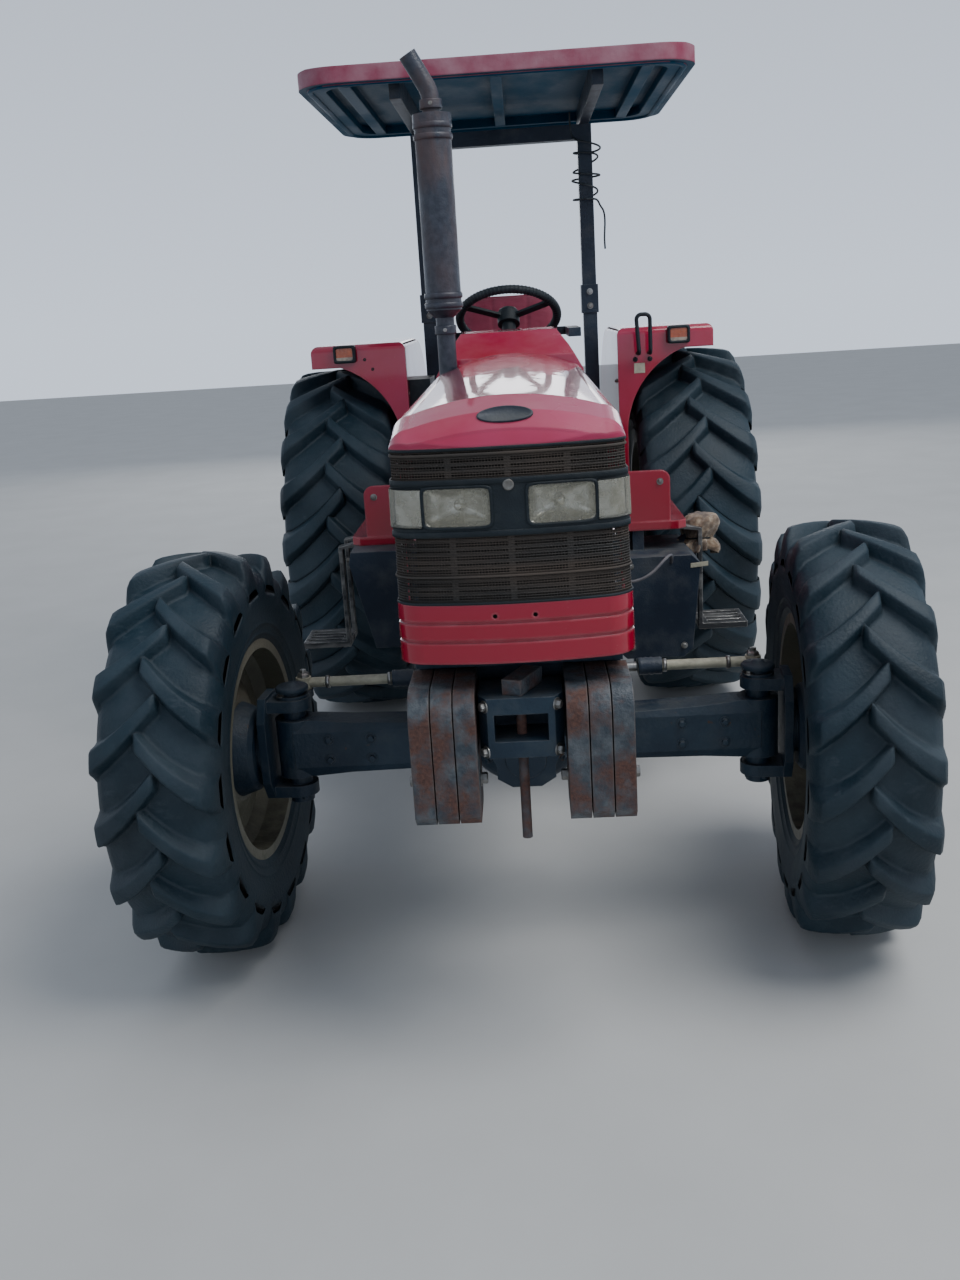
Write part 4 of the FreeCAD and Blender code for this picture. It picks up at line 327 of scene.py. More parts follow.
def circle(count, radius, middle, axis, start=0.0):
    """Ray starts on a circle about a point, aimed along one of the axes: rows of place and direction."""
    angle = start + 2 * math.pi * np.arange(count) / count
    across, up = radius * np.cos(angle), radius * np.sin(angle)
    flat = {"y": np.column_stack([across, 0 * up, up]), "x": np.column_stack([0 * up, across, up]),
            "z": np.column_stack([across, up, 0 * up])}[axis[-1]]
    sign = -1.0 if axis[0] == "-" else 1.0
    toward = sign * np.array([axis[-1] == "x", axis[-1] == "y", axis[-1] == "z"], float)
    return np.column_stack([flat + np.array(middle, float), np.tile(toward, (count, 1))]).tolist()


bolts("axle_housing_bolts", "front_axle_beam", "chassis", "casting", 0.017,
      circle(10, 0.112, (0, -1.60, 0.590), "+y", 0.3))
bolts("frame_rail_bolts", "front_frame", "chassis", "bright_steel", 0.019,
      [(side * 0.40, y, z, -side, 0, 0) for side in (1, -1) for y, z in (
          (-1.00, 0.93), (-0.90, 0.93), (-1.00, 0.84), (-0.90, 0.84), (-1.52, 0.90), (-1.62, 0.90))])
bolts("frame_plate_bolts", "front_frame", "chassis", "bright_steel", 0.016,
      [(side * 0.225, y, 1.2, 0, 0, -1) for y in (-1.60, -1.35) for side in (1, -1)])
bolts("gearbox_bolts", "gearbox_housing", "chassis", "casting", 0.020,
      [(side * 0.6, -0.30, z, -side, 0, 0) for side in (1, -1) for z in (0.52, 0.62, 0.72, 0.82)]
      + [(side * 0.6, 0.66, z, -side, 0, 0) for side in (1, -1) for z in (0.55, 0.70, 0.85)])
bolts("engine_block_bolts", "engine_block", "chassis", "casting", 0.015,
      [(side * 0.6, y, 0.66, -side, 0, 0) for side in (1, -1)
       for y in (-0.95, -0.83, -0.71, -0.59, -0.47, -0.37)])

# Knuckle caps: a turned steel cap over each kingpin's bearing with two bolts in it, and four bolts under the
# knuckle's foot, which steer with it. Four more bolts close each end of the fixed beam.
for side, word in ((1, "left"), (-1, "right")):
    kingpin = (side * 0.6625, -1.250)
    tops = landed("knuckle_" + word, [kingpin + (1.0, 0, 0, -1)])[0]
    cap = turned([(0, -0.002), (0.047, -0.002), (0.047, 0.008), (0.043, 0.012), (0.020, 0.013),
                  (0.016, 0.020), (0, 0.021)], 40)
    build("knuckle_cap_" + word, "knuckle_" + word, "casting", [(set_at(cap, tops, (0, 0, 1)), "R")])
    bolts("knuckle_cap_bolts_" + word, "knuckle_" + word, "knuckle_" + word, "bright_steel", 0.016,
          circle(2, 0.037, kingpin + (1.0,), "-z", 0.7))
    bolts("knuckle_foot_bolts_" + word, "knuckle_" + word, "knuckle_" + word, "casting", 0.016,
          circle(4, 0.034, kingpin + (0.2,), "+z", 0.4))
    bolts("beam_end_bolts_" + word, "front_axle_beam", "chassis", "casting", 0.018,
          [(side * x, -1.6, z, 0, 1, 0) for x in (0.56, 0.44) for z in (0.62, 0.56)])

# Tie rods: cream enamel on steel tube, with a moulded blue boot over each inner joint and a clamp ring on
# each side of it; the ball's housing is capped by a nut over the knuckle's eye.
weathered("tie_rod_paint", (0.520, 0.500, 0.380), (0.400, 0.385, 0.290), (0.110, 0.100, 0.080), 9.0, 0.36,
          0.45, 120, rust=(0.090, 0.060, 0.040), rust_from=0.69)
weathered("dark_paint", (0.010, 0.018, 0.034), (0.026, 0.042, 0.066), (0.120, 0.120, 0.110), 2.5, 0.38,
          0.55, 140, rust=(0.070, 0.045, 0.030), rust_from=0.69, worn=(0.120, 0.130, 0.140))
for side, word in ((1, "left"), (-1, "right")):
    low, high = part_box("tie_rod_" + word)
    inner = low[0] if side > 0 else high[0]
    rod_y, rod_z, eye_top = (low[1] + high[1]) / 2, 0.7363, 0.7535
    # Boot: distance from the inner end, radius; three folds between two collars.
    boot = turned([(0.0245, -0.001), (0.0262, 0.002), (0.0262, 0.010), (0.0248, 0.014), (0.0272, 0.022),
                   (0.0248, 0.030),
                   (0.0268, 0.038), (0.0246, 0.046), (0.0256, 0.054), (0.0256, 0.064), (0.0245, 0.068)], 32)
    build("tie_rod_boot_" + word, "tie_rod_" + word, "dark_paint",
          [(set_at(boot, (inner, rod_y, rod_z), (side, 0, 0)), "R")])
    ring = turned([(0.0150, 0.0), (0.0190, 0.001), (0.0195, 0.006), (0.0190, 0.012), (0.0150, 0.013)], 32)
    build("tie_rod_clamps_" + word, "tie_rod_" + word, "bright_steel",
          [(set_at(ring, [(inner + side * reach, rod_y, rod_z) for reach in (0.070, 0.255)], (side, 0, 0)),
            "R")])
    eye_x = inner + side * (high[0] - low[0] - 0.023)
    nut = turned([(0, 0), (0.019, 0), (0.019, 0.010), (0.016, 0.014), (0.010, 0.015), (0.010, 0.024),
                  (0, 0.025)], 6)
    build("tie_rod_nut_" + word, "tie_rod_" + word, "bright_steel",
          [(set_at(nut, (eye_x, rod_y, eye_top), (0, 0, 1)), "R")], smooth=False)

# Front weights and tow pin: cast iron whose grey-blue paint has mostly gone to brown rust; each weight is
# rubbed pale along its rim and hangs by a hook over the bracket's bar, and a long bolt clamps each set of
# three together.
iron = Recipe("rusty_iron")
iron_rim = iron.mix("MULTIPLY", iron.edges(0.007), iron.noise(26, 0.34, 0.60, detail=7))
worn_away = iron.noise(9, 0.42, 0.58, detail=8, roughness=0.65)
pitted = iron.noise(120, 0.35, 0.70, detail=9)
old_paint = iron.blend(iron.noise(30, 0.40, 0.65), (0.026, 0.038, 0.050), (0.085, 0.098, 0.108))
rusted = iron.blend(pitted, (0.120, 0.056, 0.040), (0.055, 0.028, 0.024))
metal = iron.blend(worn_away, old_paint, rusted)
iron.base(iron.blend(iron_rim, metal, (0.150, 0.125, 0.110)))
iron.rough(worn_away, 0.50, 0.88)
iron.bump(pitted, 0.0018)
finish["rusty_iron"] = iron.material
set_middle, clamp_y, clamp_z = 0.180, -1.845, 0.700
for side, word in ((1, "left"), (-1, "right")):
    clamp = turned([(0, -0.086), (0.009, -0.086), (0.009, 0.086), (0, 0.086)], 20)
    build("weight_clamp_" + word, "chassis", "bright_steel",
          [(set_at(clamp, (side * set_middle, clamp_y, clamp_z), (1, 0, 0)), "R")])
    spots = [(side * 0.60, clamp_y, clamp_z, -side, 0, 0), (0, clamp_y, clamp_z, side, 0, 0)]
    bolts("weight_nuts_" + word, "front_weights", "chassis", "bright_steel", 0.024, spots)
bolts("bracket_bolts", "weight_bracket", "chassis", "bright_steel", 0.018,
      [(side * 0.083, -2.2, z, 0, 1, 0) for side in (1, -1) for z in (0.79, 0.90)])

# Rear hubs and axle case: the same castings as the front axle, the hubs paler under a coat of field dust.
# Bolts hold the case's rear cover, the flange of each trumpet, and the drawbar's hanger below.
weathered("rear_hub_paint", (0.060, 0.058, 0.048), (0.110, 0.105, 0.085), (0.200, 0.180, 0.140), 4.0, 0.55,
          0.75, 90, worn=(0.150, 0.140, 0.110))
bolts("drawbar_hanger_bolts", "drawbar_hanger", "chassis", "casting", 0.018,
      [(0.3, y, 0.455, -1, 0, 0) for y in (1.14, 1.18)] + [(-0.3, y, 0.455, 1, 0, 0) for y in (1.14, 1.18)])
bolts("axle_case_bolts", "rear_axle_housing", "chassis", "casting", 0.020,
      circle(10, 0.150, (0, 1.60, 0.760), "-y", 0.2)
      + circle(10, 0.165, (0.95, 1.03, 0.774), "-x", 0.2)
      + circle(10, 0.165, (-0.95, 1.03, 0.774), "+x", 0.2))

# Radiator: a black core of thin fins close together, seen edge on behind the grilles, in a soldered frame.
core = Recipe("radiator_core")
core.base(core.blend(core.noise(12, 0.4, 0.7), (0.010, 0.010, 0.010), (0.050, 0.042, 0.034)))
core.rough(core.noise(30, 0.3, 0.7), 0.6, 0.9)
core.bump(core.ridges("X", 120), 0.002)
finish["radiator_core"] = core.material

# Radiator gap strips: painted shade. An upright black strip stands on each side of the core's frame, in the gap to
# the hood's side. It is a dark sheet in the core's black finish that stands in for the shade in that gap, so that
# no light shows through it. Each starts at the frame and stops 3 mm short of the hood.
gap_shade_rise = np.linspace(0.990, 1.465, 24)[:, None]
gap_shade_out = 0.2535 - 0.010 * (gap_shade_rise - 1.0) / 0.42
for side, word in ((1, "left"), (-1, "right")):
    corners = ((0.2235, -1.520), (gap_shade_out, -1.516), (gap_shade_out, -1.496), (0.2235, -1.492))
    section = [np.stack(np.broadcast_arrays(side * np.asarray(x), y, gap_shade_rise), axis=-1) for x, y in corners]
    # Painted shade: each strip is a dark sheet standing in for the shade in the gap beside the core.
    build("radiator_seal_" + word, "chassis", "radiator_core", [(np.concatenate(section, axis=1), "CE")])

# Exhaust: dark purplish paint baked on rolled steel, brown with rust towards the top of the muffler, with a
# rolled seam at each end of the muffler and a clamp with its bolt where the pipe goes in.
pipe = Recipe("exhaust_steel")
scale_marks = pipe.noise(14, 0.42, 0.66, detail=8, stretch=(1, 1, 0.35))
stained = pipe.mix("MULTIPLY", scale_marks, pipe.along("z", 1.6, 2.4))
baked = pipe.blend(pipe.noise(40, 0.4, 0.7), (0.016, 0.022, 0.036), (0.042, 0.050, 0.068))
pipe.base(pipe.blend(stained, baked, (0.085, 0.054, 0.052)))
pipe.rough(stained, 0.34, 0.80)
pipe.bump(pipe.noise(160, 0.3, 0.7, detail=8), 0.0008)
finish["exhaust_steel"] = pipe.material
muffler_at = (-0.200, -0.470)
seam = turned([(0.055, -0.010), (0.0605, -0.009), (0.0625, -0.004), (0.0625, 0.004), (0.0605, 0.009),
               (0.055, 0.010)], 64)
clamp = turned([(0.029, -0.014), (0.0345, -0.014), (0.0355, -0.010), (0.0345, 0.0), (0.0355, 0.010),
                (0.0345, 0.014), (0.029, 0.014)], 48)
build("muffler_seams", "chassis", "exhaust_steel",
      [(set_at(seam, [muffler_at + (z,) for z in (1.792, 1.822, 2.300, 2.333)], (0, 0, 1)), "R"),
       (set_at(clamp, [muffler_at + (z,) for z in (1.715, 2.395)], (0, 0, 1)), "R")])
bolts("muffler_clamp_bolts", "exhaust", "chassis", "bright_steel", 0.012,
      [(-0.200, -1.2, z, 0, 1, 0) for z in (1.715, 2.395)])

# Hood, cowl, platform and fenders: pressed steel in crimson enamel, glossy where the sky falls on it,
# chalky pink where the sun has worked, with paler worn edges and dust lying on top.
red = Recipe("red_paint")
chalky = red.mix("MULTIPLY", red.noise(1.7, 0.36, 0.70), red.along("z", 1.10, 1.50))
enamel = red.blend(chalky, (0.310, 0.002, 0.022), (0.410, 0.032, 0.105))
rubbed_edge = red.mix("MULTIPLY", red.edges(0.010), red.noise(11, 0.30, 0.62, detail=6))
enamel = red.blend(red.mix("MULTIPLY", rubbed_edge, 0.55), enamel, (0.560, 0.190, 0.220))
film = red.mix("MULTIPLY", red.facing("z", 0.30, 1.0), red.noise(7, 0.25, 0.75))
spots = red.noise(46, 0.66, 0.74, detail=8, roughness=0.7)
haze = red.mix("MULTIPLY", red.mix("MAXIMUM", film, spots), 0.24)
red.base(red.blend(haze, enamel, (0.480, 0.270, 0.270)))
red.rough(red.mix("MAXIMUM", haze, red.mix("MULTIPLY", chalky, 0.25)), 0.16, 0.75)
red.bump(red.noise(2.2, 0.2, 0.8, detail=2), 0.003, 0.35)
red.set(Coat_Weight=0.9, Coat_Roughness=0.04, Coat_IOR=1.5, Specular_IOR_Level=0.25)
finish["red_paint"] = red.material

# Black mouldings: steering wheel, lamp frames, seat pan and consoles, grey with dust.
weathered("black_plastic", (0.002, 0.007, 0.011), (0.006, 0.014, 0.020), (0.060, 0.060, 0.056), 7.0, 0.46,
          0.30, 260)

# Nose: the hood's lip is turned under above the upper grille, over a black rubber strip that seals the gap,
# and again above the valance. The strips are glued on and follow the front's own curve.
hood_front, half_front, corner = -1.925, 0.272, 0.060


def front_wall(share, out=0.0, height=1.0):
    """Points of the hood's front in plan, out metres proud of it, for share from -1 (right end) to 1 (left
    end).

    The front is one flat arc, 22 mm deep over half_front - corner on each side, and then a corner arc that
    turns back by 68 mm over the last 60 mm; the share runs along both as their lengths do. The side walls
    lean in by 10 mm over the 0.42 m above their foot, and cut the corners off as they rise.
    """
    inner = half_front - corner
    flat_radius = (inner ** 2 + 0.022 ** 2) / (2 * 0.022)
    first, middle, last = (inner, 0.022), (half_front - 0.018, 0.048), (half_front, 0.090)
    chords = ((first, middle), (middle, last))
    across = np.array([[2 * (b[0] - a[0]), 2 * (b[1] - a[1])] for a, b in chords])
    level = np.array([b[0] ** 2 + b[1] ** 2 - a[0] ** 2 - a[1] ** 2 for a, b in chords])
    centre = np.linalg.solve(across, level)
    radius = math.hypot(first[0] - centre[0], first[1] - centre[1])
    start = math.atan2(first[1] - centre[1], first[0] - centre[0])
    end = math.atan2(last[1] - centre[1], last[0] - centre[0])
    bend = start + (end - start) * np.linspace(0, 1, 41)
    side_x = np.concatenate([np.linspace(0, inner, 81)[:-1], centre[0] + radius * np.cos(bend),
                             [half_front] * 20])
    side_y = np.concatenate([flat_radius - np.sqrt(flat_radius ** 2 - np.linspace(0, inner, 81)[:-1] ** 2),
                             centre[1] + radius * np.sin(bend), 0.090 + 0.004 * np.arange(1, 21)])
    x = np.concatenate([-side_x[::-1], side_x[1:]])
    y = np.concatenate([side_y[::-1], side_y[1:]]) + hood_front
    along = np.concatenate([[0], np.cumsum(np.hypot(np.diff(x), np.diff(y)))])
    along = 2 * along / along[-1] - 1
    px, py = np.interp(share, along, x), np.interp(share, along, y)
    step = 1e-3
    tx = np.interp(share + step, along, x) - np.interp(share - step, along, x)
    ty = np.interp(share + step, along, y) - np.interp(share - step, along, y)
    size = np.hypot(tx, ty)
    side_wall = half_front - 0.010 * (np.asarray(height) - 1.0) / 0.42 + out
    return np.clip(px + out * ty / size, -side_wall, side_wall), py - out * tx / size


def share_at(x):
    """The share along the front at which it stands at x, for x within the flat arc and the corners."""
    fine = np.linspace(-0.8, 0.8, 2001)
    return np.interp(x, front_wall(fine)[0], fine)


def strip(low, high, out, share_from=-1.0, share_to=1.0, thick=0.004, steps=90):
    """A flat strip that follows the front between two heights: rows run along it, columns round its
    section."""
    share = np.linspace(share_from, share_to, steps)
    inner_x, inner_y = front_wall(share, out - thick, low)
    outer_x, outer_y = front_wall(share, out, low)
    edge = 0.3 * thick
    soft_x, soft_y = front_wall(share, out - edge, low)
    corners = [(inner_x, inner_y, low), (soft_x, soft_y, low), (outer_x, outer_y, low + edge),
               (outer_x, outer_y, high - edge), (soft_x, soft_y, high), (inner_x, inner_y, high)]
    return np.stack([np.stack([x, y, np.full(steps, z)], axis=-1) for x, y, z in corners], axis=1)


lower_grille, panel_foot, panel_head, nose_foot = 1.145, 1.300, 1.420, 1.490
build("nose_seal", "hood", "black_plastic", [(strip(nose_foot - 0.005, nose_foot + 0.002, 0.0008), "CE")])
build("panel_mouldings", "hood", "black_plastic", [
    (strip(panel_foot - 0.004, panel_foot + 0.010, 0.0022), "CE"),
    (strip(panel_head - 0.010, panel_head + 0.004, 0.0022), "CE")])
build("valance_seal", "hood", "black_plastic",
      [(strip(lower_grille - 0.003, lower_grille + 0.003, 0.0010), "CE")])

# Grilles: woven wire screens, brown with road dust, stretched in front of the level bars; wires 2 mm thick,
# 6 mm apart. A flat rail crosses the lower screen two fifths of the way up, and one lies along the top of
# the upper.
screen = Recipe("grille_mesh")
caked = screen.noise(9, 0.35, 0.70, detail=7, stretch=(0.25, 1, 1.6))
screen.base(screen.blend(caked, (0.016, 0.015, 0.013), (0.082, 0.062, 0.048)))
screen.rough(caked, 0.50, 0.92)
screen.bump(screen.noise(150, 0.3, 0.7), 0.0008)
finish["grille_mesh"] = screen.material


def woven(name, low, high):
    """A screen of upright and level wires on the front's curve, set 3 mm back from it.

    Level wires lie at low + 5 mm + 6 mm * k; upright ones stand 1.2 mm behind them, 112 along the curve.
    Each wire's section is a diamond 2 mm across, carried along its line.
    """
    share = np.linspace(-0.985, 0.985, 113)
    section = np.array([(-0.0009, 0.0), (0.0, 0.0010), (0.0009, 0.0), (0.0, -0.0010)])
    heights = np.arange(low + 0.005, high - 0.003, 0.006)[:, None]
    level = []
    for out, up in section:
        x, y = front_wall(share[None, :], -0.003 + out, heights)
        level.append(np.stack(np.broadcast_arrays(x, y, heights + up), axis=-1))
    ends = np.array([[low + 0.001, high - 0.001]])
    upright = []
    for out, along in section:
        x, y = front_wall(share[:-1, None] + along / 0.36, -0.0042 + out, ends)
        upright.append(np.stack(np.broadcast_arrays(x, y, ends), axis=-1))
    wires = [(np.stack(level, axis=2), "C"), (np.stack(upright, axis=2), "C")]
    build(name, "hood", "grille_mesh", wires, smooth=False)


woven("grille_screen_upper", panel_head + 0.004, nose_foot - 0.003)
woven("grille_screen_lower", lower_grille + 0.003, panel_foot - 0.004)
build("grille_rails", "hood", "grille_mesh", [
    (strip(low, high, 0.0010, -0.985, 0.985), "CE")
    for low, high in ((1.204, 1.209), (nose_foot - 0.016, nose_foot - 0.010))])

# Front lamps: on each side a square head lamp, with a plated bowl and bulb behind yellowed fluted glass,
# and beside it a marker lamp whose ribbed glass wraps round the corner. Black frames hold them in the panel
# by hidden clips.
glass = Recipe("lamp_lens")
hazed = glass.noise(16, 0.35, 0.70, detail=6)
glass.base(glass.blend(hazed, (0.560, 0.545, 0.460), (0.340, 0.320, 0.240)))
glass.rough(hazed, 0.06, 0.30)
glass.bump(glass.noise(300, 0.3, 0.7), 0.0003)
glass.link(glass.spread(hazed, 0, 1, 0.10, 0.26), glass.shader.inputs["Alpha"])
glass.set(Coat_Weight=1.0, Coat_Roughness=0.04)
finish["lamp_lens"] = glass.material
plated = Recipe("lamp_bowl")
tarnish = plated.noise(30, 0.40, 0.70, detail=6)
plated.base(plated.blend(tarnish, (0.600, 0.590, 0.520), (0.260, 0.240, 0.180)))
plated.rough(tarnish, 0.16, 0.42)
plated.bump(plated.noise(90, 0.3, 0.7), 0.0004)
plated.set(Metallic=0.9)
lamp_foot, lamp_top = 1.320, 1.404
head_in, head_out, corner_in = 0.042, 0.188, 0.194


def window(share, rise, low=lamp_foot, high=lamp_top, out=0.0):
    """A point of a lamp's opening: share along the front and rise from -1 (its foot) to 1 (its head)."""
    height = (low + high) / 2 + np.asarray(rise) * (high - low) / 2
    x, y = front_wall(share, out, height)
    return np.stack(np.broadcast_arrays(x, y, height), axis=-1)


def lamp_frame(from_share, to_share):
    """A moulded frame round an opening: a raised section carried round a rectangle with rounded corners."""
    middle, half = (from_share + to_share) / 2, abs(to_share - from_share) / 2
    angle = np.linspace(0, 2 * math.pi, 96, endpoint=False)
    # The corner's roundness: a superellipse with power 9 lies close inside the rectangle.
    stretch = (np.abs(np.cos(angle)) ** 9 + np.abs(np.sin(angle)) ** 9) ** (-1 / 9)
    rows = []
    for wider, out in ((0.000, -0.010), (0.000, 0.0020), (0.0020, 0.0036), (0.0050, 0.0036), (0.0066, 0.0015),
                       (0.0066, -0.006)):
        rise = np.sin(angle) * stretch * (1 + wider / 0.042)
        share = middle + np.cos(angle) * stretch * (half + wider / 0.36)
        rows.append(window(share, rise, out=out))
    return np.stack(rows, axis=1)


glasses, bowls, frames, bulbs = [], [], [], []
for side in (1, -1):
    near, far = share_at(side * head_in), share_at(side * head_out)
    frames.append((lamp_frame(near, far), "RC"))
    across, rise = np.linspace(-1, 1, 98)[:, None], np.linspace(-1, 1, 33)[None, :]
    middle, half = (near + far) / 2, (far - near) / 2
    # Flutes: upright ribs 7 mm apart fade out towards the middle, where a round bull's eye swells by 2 mm.
    eye_distance = np.hypot(across * 0.073, rise * 0.042) / 0.030
    swell = 0.0022 * np.clip(1 - eye_distance ** 2, 0, 1)
    ribs = 0.0011 * np.cos(across * 0.073 * 2 * math.pi / 0.007) * np.clip(eye_distance - 0.6, 0, 1)
    glasses.append((window(middle + across * half, rise, out=0.0008 + swell + ribs), ""))
    # Bowl: 46 mm deep times the root of 1 - r^2, where r is 0 in its middle and 1 on its squarish rim.
    around = (np.abs(across) ** 7 + np.abs(rise) ** 7) ** (1 / 7)
    deep = 0.046 * np.sqrt(np.clip(1 - np.clip(around, 0, 1) ** 2, 0, 1))
    bowls.append((window(middle + across * half, rise, out=-0.004 - deep), ""))
    focus = window(middle, 0.0, out=-0.050)
    toward = window(middle, 0.0, out=0.0) - focus
    bulb = turned([(0.0, 0.0), (0.013, 0.0), (0.013, 0.006), (0.0075, 0.009), (0.0075, 0.024), (0.009, 0.026),
                   (0.009, 0.031), (0.005, 0.034), (0, 0.035)], 24)
    bulbs.append((set_at(bulb, focus, toward), "R"))
    wrap = np.linspace(share_at(side * (corner_in + 0.001)), side * 0.985, 150)[:, None]
    ribbing = 0.0010 * np.cos(np.arange(150)[:, None] * 2 * math.pi / 4)
    glasses.append((window(wrap, rise, out=0.0030 + ribbing + 0 * rise), ""))
    bowls.append((window(wrap, rise, out=-0.008 + 0 * wrap * rise), ""))
    for low, high in ((lamp_foot - 0.004, lamp_foot + 0.0015), (lamp_top - 0.0015, lamp_top + 0.004)):
        frames.append((strip(low, high, 0.0034, wrap[0, 0], wrap[-1, 0], thick=0.012), "CE"))
cover = build("front_lamp_glass", "hood", "lamp_lens", glasses, turn_out=False)
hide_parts("front_lamps")
thick_glass = cover.modifiers.new("thickness", "SOLIDIFY")
thick_glass.thickness = 0.002
thick_glass.offset = 0
for name, shells in (("front_lamp_bowls", bowls), ("front_lamp_bulbs", bulbs)):
    inside = build(name, "hood", "bright_steel", shells, turn_out=name.endswith("bulbs"))
    inside.data.materials[0] = plated.material
build("front_lamp_frames", "hood", "black_plastic", frames)

# Bonnet lock and badge: a chromed lock barrel in the panel's middle, and on the nose a blank oval plate,
# dark blue enamel inside a thin raised rim, held by two studs from behind. It carries no lettering.
barrel = turned([(0, 0), (0.0125, 0), (0.0125, 0.0025), (0.0095, 0.0040), (0.0080, 0.0034), (0, 0.0034)], 40)
lock_x, lock_y = front_wall(0.0)
build("bonnet_lock", "hood", "bright_steel",
      [(set_at(barrel, (float(lock_x), float(lock_y), 1.408), (0, -1, 0)), "R")])
places, outward = landed("hood_shell", [(0, -2.3, 1.553, 0, 1, 0)])
if places:
    badge = turned([(0, 0.0028), (0.90, 0.0032), (0.92, 0.0046), (0.97, 0.0050), (1.0, 0.0040),
                    (1.0, -0.004), (0, -0.004)], 72)
    oval = badge * np.array([0.0615, 0.0235, 1.0])
    oval[..., 2] -= oval[..., 0] ** 2 / (2 * 1.03)
    lean = np.array(outward[0])
    up = np.cross(lean, (1.0, 0, 0))
    up /= np.linalg.norm(up)
    if up[2] < 0:
        up = -up
    right = np.cross(up, lean)
    oval = np.array(places[0]) + oval[..., 0:1] * right + oval[..., 1:2] * up + oval[..., 2:3] * lean
    build("nose_badge", "hood", "dark_paint", [(oval, "R")])

# Dash: a black moulded panel on the cowl's rear face with a large round gauge between two small ones, each a
# chromed ring round a dark dial with cream marks and a needle, and a row of five switches below.
dial = Recipe("gauge_dial")
dial.base(dial.blend(dial.noise(40, 0.3, 0.7), (0.010, 0.010, 0.011), (0.020, 0.020, 0.022)))
dial.set(Roughness=0.25, Coat_Weight=1.0, Coat_Roughness=0.03)
face_points, face_out = landed("dash_cowl", [(0, 1.2, 1.50, 0, -1, 0)])
if face_points:
    lean = np.array(face_out[0])
    up = np.array([0, -lean[2], lean[1]]) * (1 if lean[1] > 0 else -1)
    middle = np.array(face_points[0])
    right = np.cross(up, lean)
    corner_at = np.linspace(0, 2 * math.pi, 96, endpoint=False)
    bulge = (np.abs(np.cos(corner_at)) ** 8 + np.abs(np.sin(corner_at)) ** 8) ** (-1 / 8)
    outline = np.stack([0.170 * np.cos(corner_at) * bulge, 0.085 * np.sin(corner_at) * bulge], axis=-1)
    plate = np.stack([middle + shrink * (outline[:, 0:1] * right + outline[:, 1:2] * up) + out * lean
                      for shrink, out in ((0.0, -0.004), (1.0, -0.004), (1.0, 0.007), (0.97, 0.012),
                                          (0.0, 0.012))], axis=1)
    build("dash_panel", "chassis", "black_plastic", [(plate, "R")])
    bezel = turned([(0.90, 0.0), (1.0, 0.002), (1.05, 0.008), (1.03, 0.012), (0.95, 0.011), (0.90, 0.004)],
                   64)
    disc = turned([(0, 0.0), (0.92, 0.0), (0.92, 0.004), (0, 0.0045)], 64)
    # Needle and tick: half width and distance out at each end, and the heights of foot and top.
    needle, tick = [np.array([[[-half, far, foot], [half, far, foot], [half, far, top], [-half, far, top]]
                              for half, far in ends])
                    for ends, foot, top in ((((0.02, -0.015), (0.008, 0.75)), 0.006, 0.0075),
                                            (((0.012, 0.70), (0.012, 0.84)), 0.0046, 0.0052))]
    rings, discs, needles = [], [], []
    for across, size, reading in ((0.0, 0.052, 0.7), (-0.110, 0.031, -0.4), (0.110, 0.031, 0.2)):
        spot = middle + across * right + 0.010 * up + 0.012 * lean
        for shape_points, pile in ((bezel, rings), (disc, discs)):
            scaled = shape_points * np.array([size, size, 1.0])
            shape = spot + scaled[..., 0:1] * right + scaled[..., 1:2] * up + scaled[..., 2:3] * lean
            pile.append((shape, "R"))
        marks = [reading] + np.linspace(-2.2, 2.2, 13).tolist()
        for number, swing in enumerate(marks):
            shape_points = needle if number == 0 else tick
            px = shape_points[..., 0] * math.cos(swing) + shape_points[..., 1] * math.sin(swing)
            py = shape_points[..., 1] * math.cos(swing) - shape_points[..., 0] * math.sin(swing)
            needles.append((spot + size * px[..., None] * right + size * py[..., None] * up
                            + shape_points[..., 2:3] * lean, "CE"))
    build("gauge_rings", "chassis", "bright_steel", rings)
    build("gauge_dials", "chassis", "black_plastic", discs).data.materials[0] = dial.material
    build("gauge_needles", "chassis", "tie_rod_paint", needles, smooth=False)
    switch = turned([(0, 0), (0.013, 0), (0.013, 0.006), (0.009, 0.009), (0.004, 0.009), (0.004, 0.024),
                     (0, 0.025)], 24)
    knobs = [middle + x * right - 0.058 * up + 0.012 * lean for x in (-0.10, -0.06, -0.02, 0.06, 0.10)]
    build("dash_switches", "chassis", "bright_steel", [(set_at(switch, knobs, lean), "R")])

# Steering wheel: a black moulded rim over a steel ring, three spokes and a round cap. 84 thin ribs run
# round the rim for grip, and the cap is pressed into the hub and turns with the wheel.
hub = np.array([0.0, 0.230, 1.735])
shaft = np.array([0.0, 0.544639, 0.838671])
cap = turned([(0, -0.004), (0.040, -0.004), (0.041, 0.006), (0.034, 0.016), (0.020, 0.021), (0, 0.022)], 48)
build("steering_cap", "steering_wheel", "black_plastic", [(set_at(cap, hub + 0.012 * shaft, shaft), "R")])
grips = turned([(0.010, -0.0035), (0.0158, -0.0025), (0.0168, 0.0), (0.0158, 0.0025), (0.010, 0.0035)], 20)
ring_angle = 2 * math.pi * np.arange(84) / 84
first = np.array([1.0, 0, 0])
second = np.cross(shaft, first)
ring_places = hub + 0.185 * (np.cos(ring_angle)[:, None] * first + np.sin(ring_angle)[:, None] * second)
ring_ahead = -np.sin(ring_angle)[:, None] * first + np.cos(ring_angle)[:, None] * second
build("steering_grips", "steering_wheel", "black_plastic", [(set_at(grips, ring_places, ring_ahead), "R")])

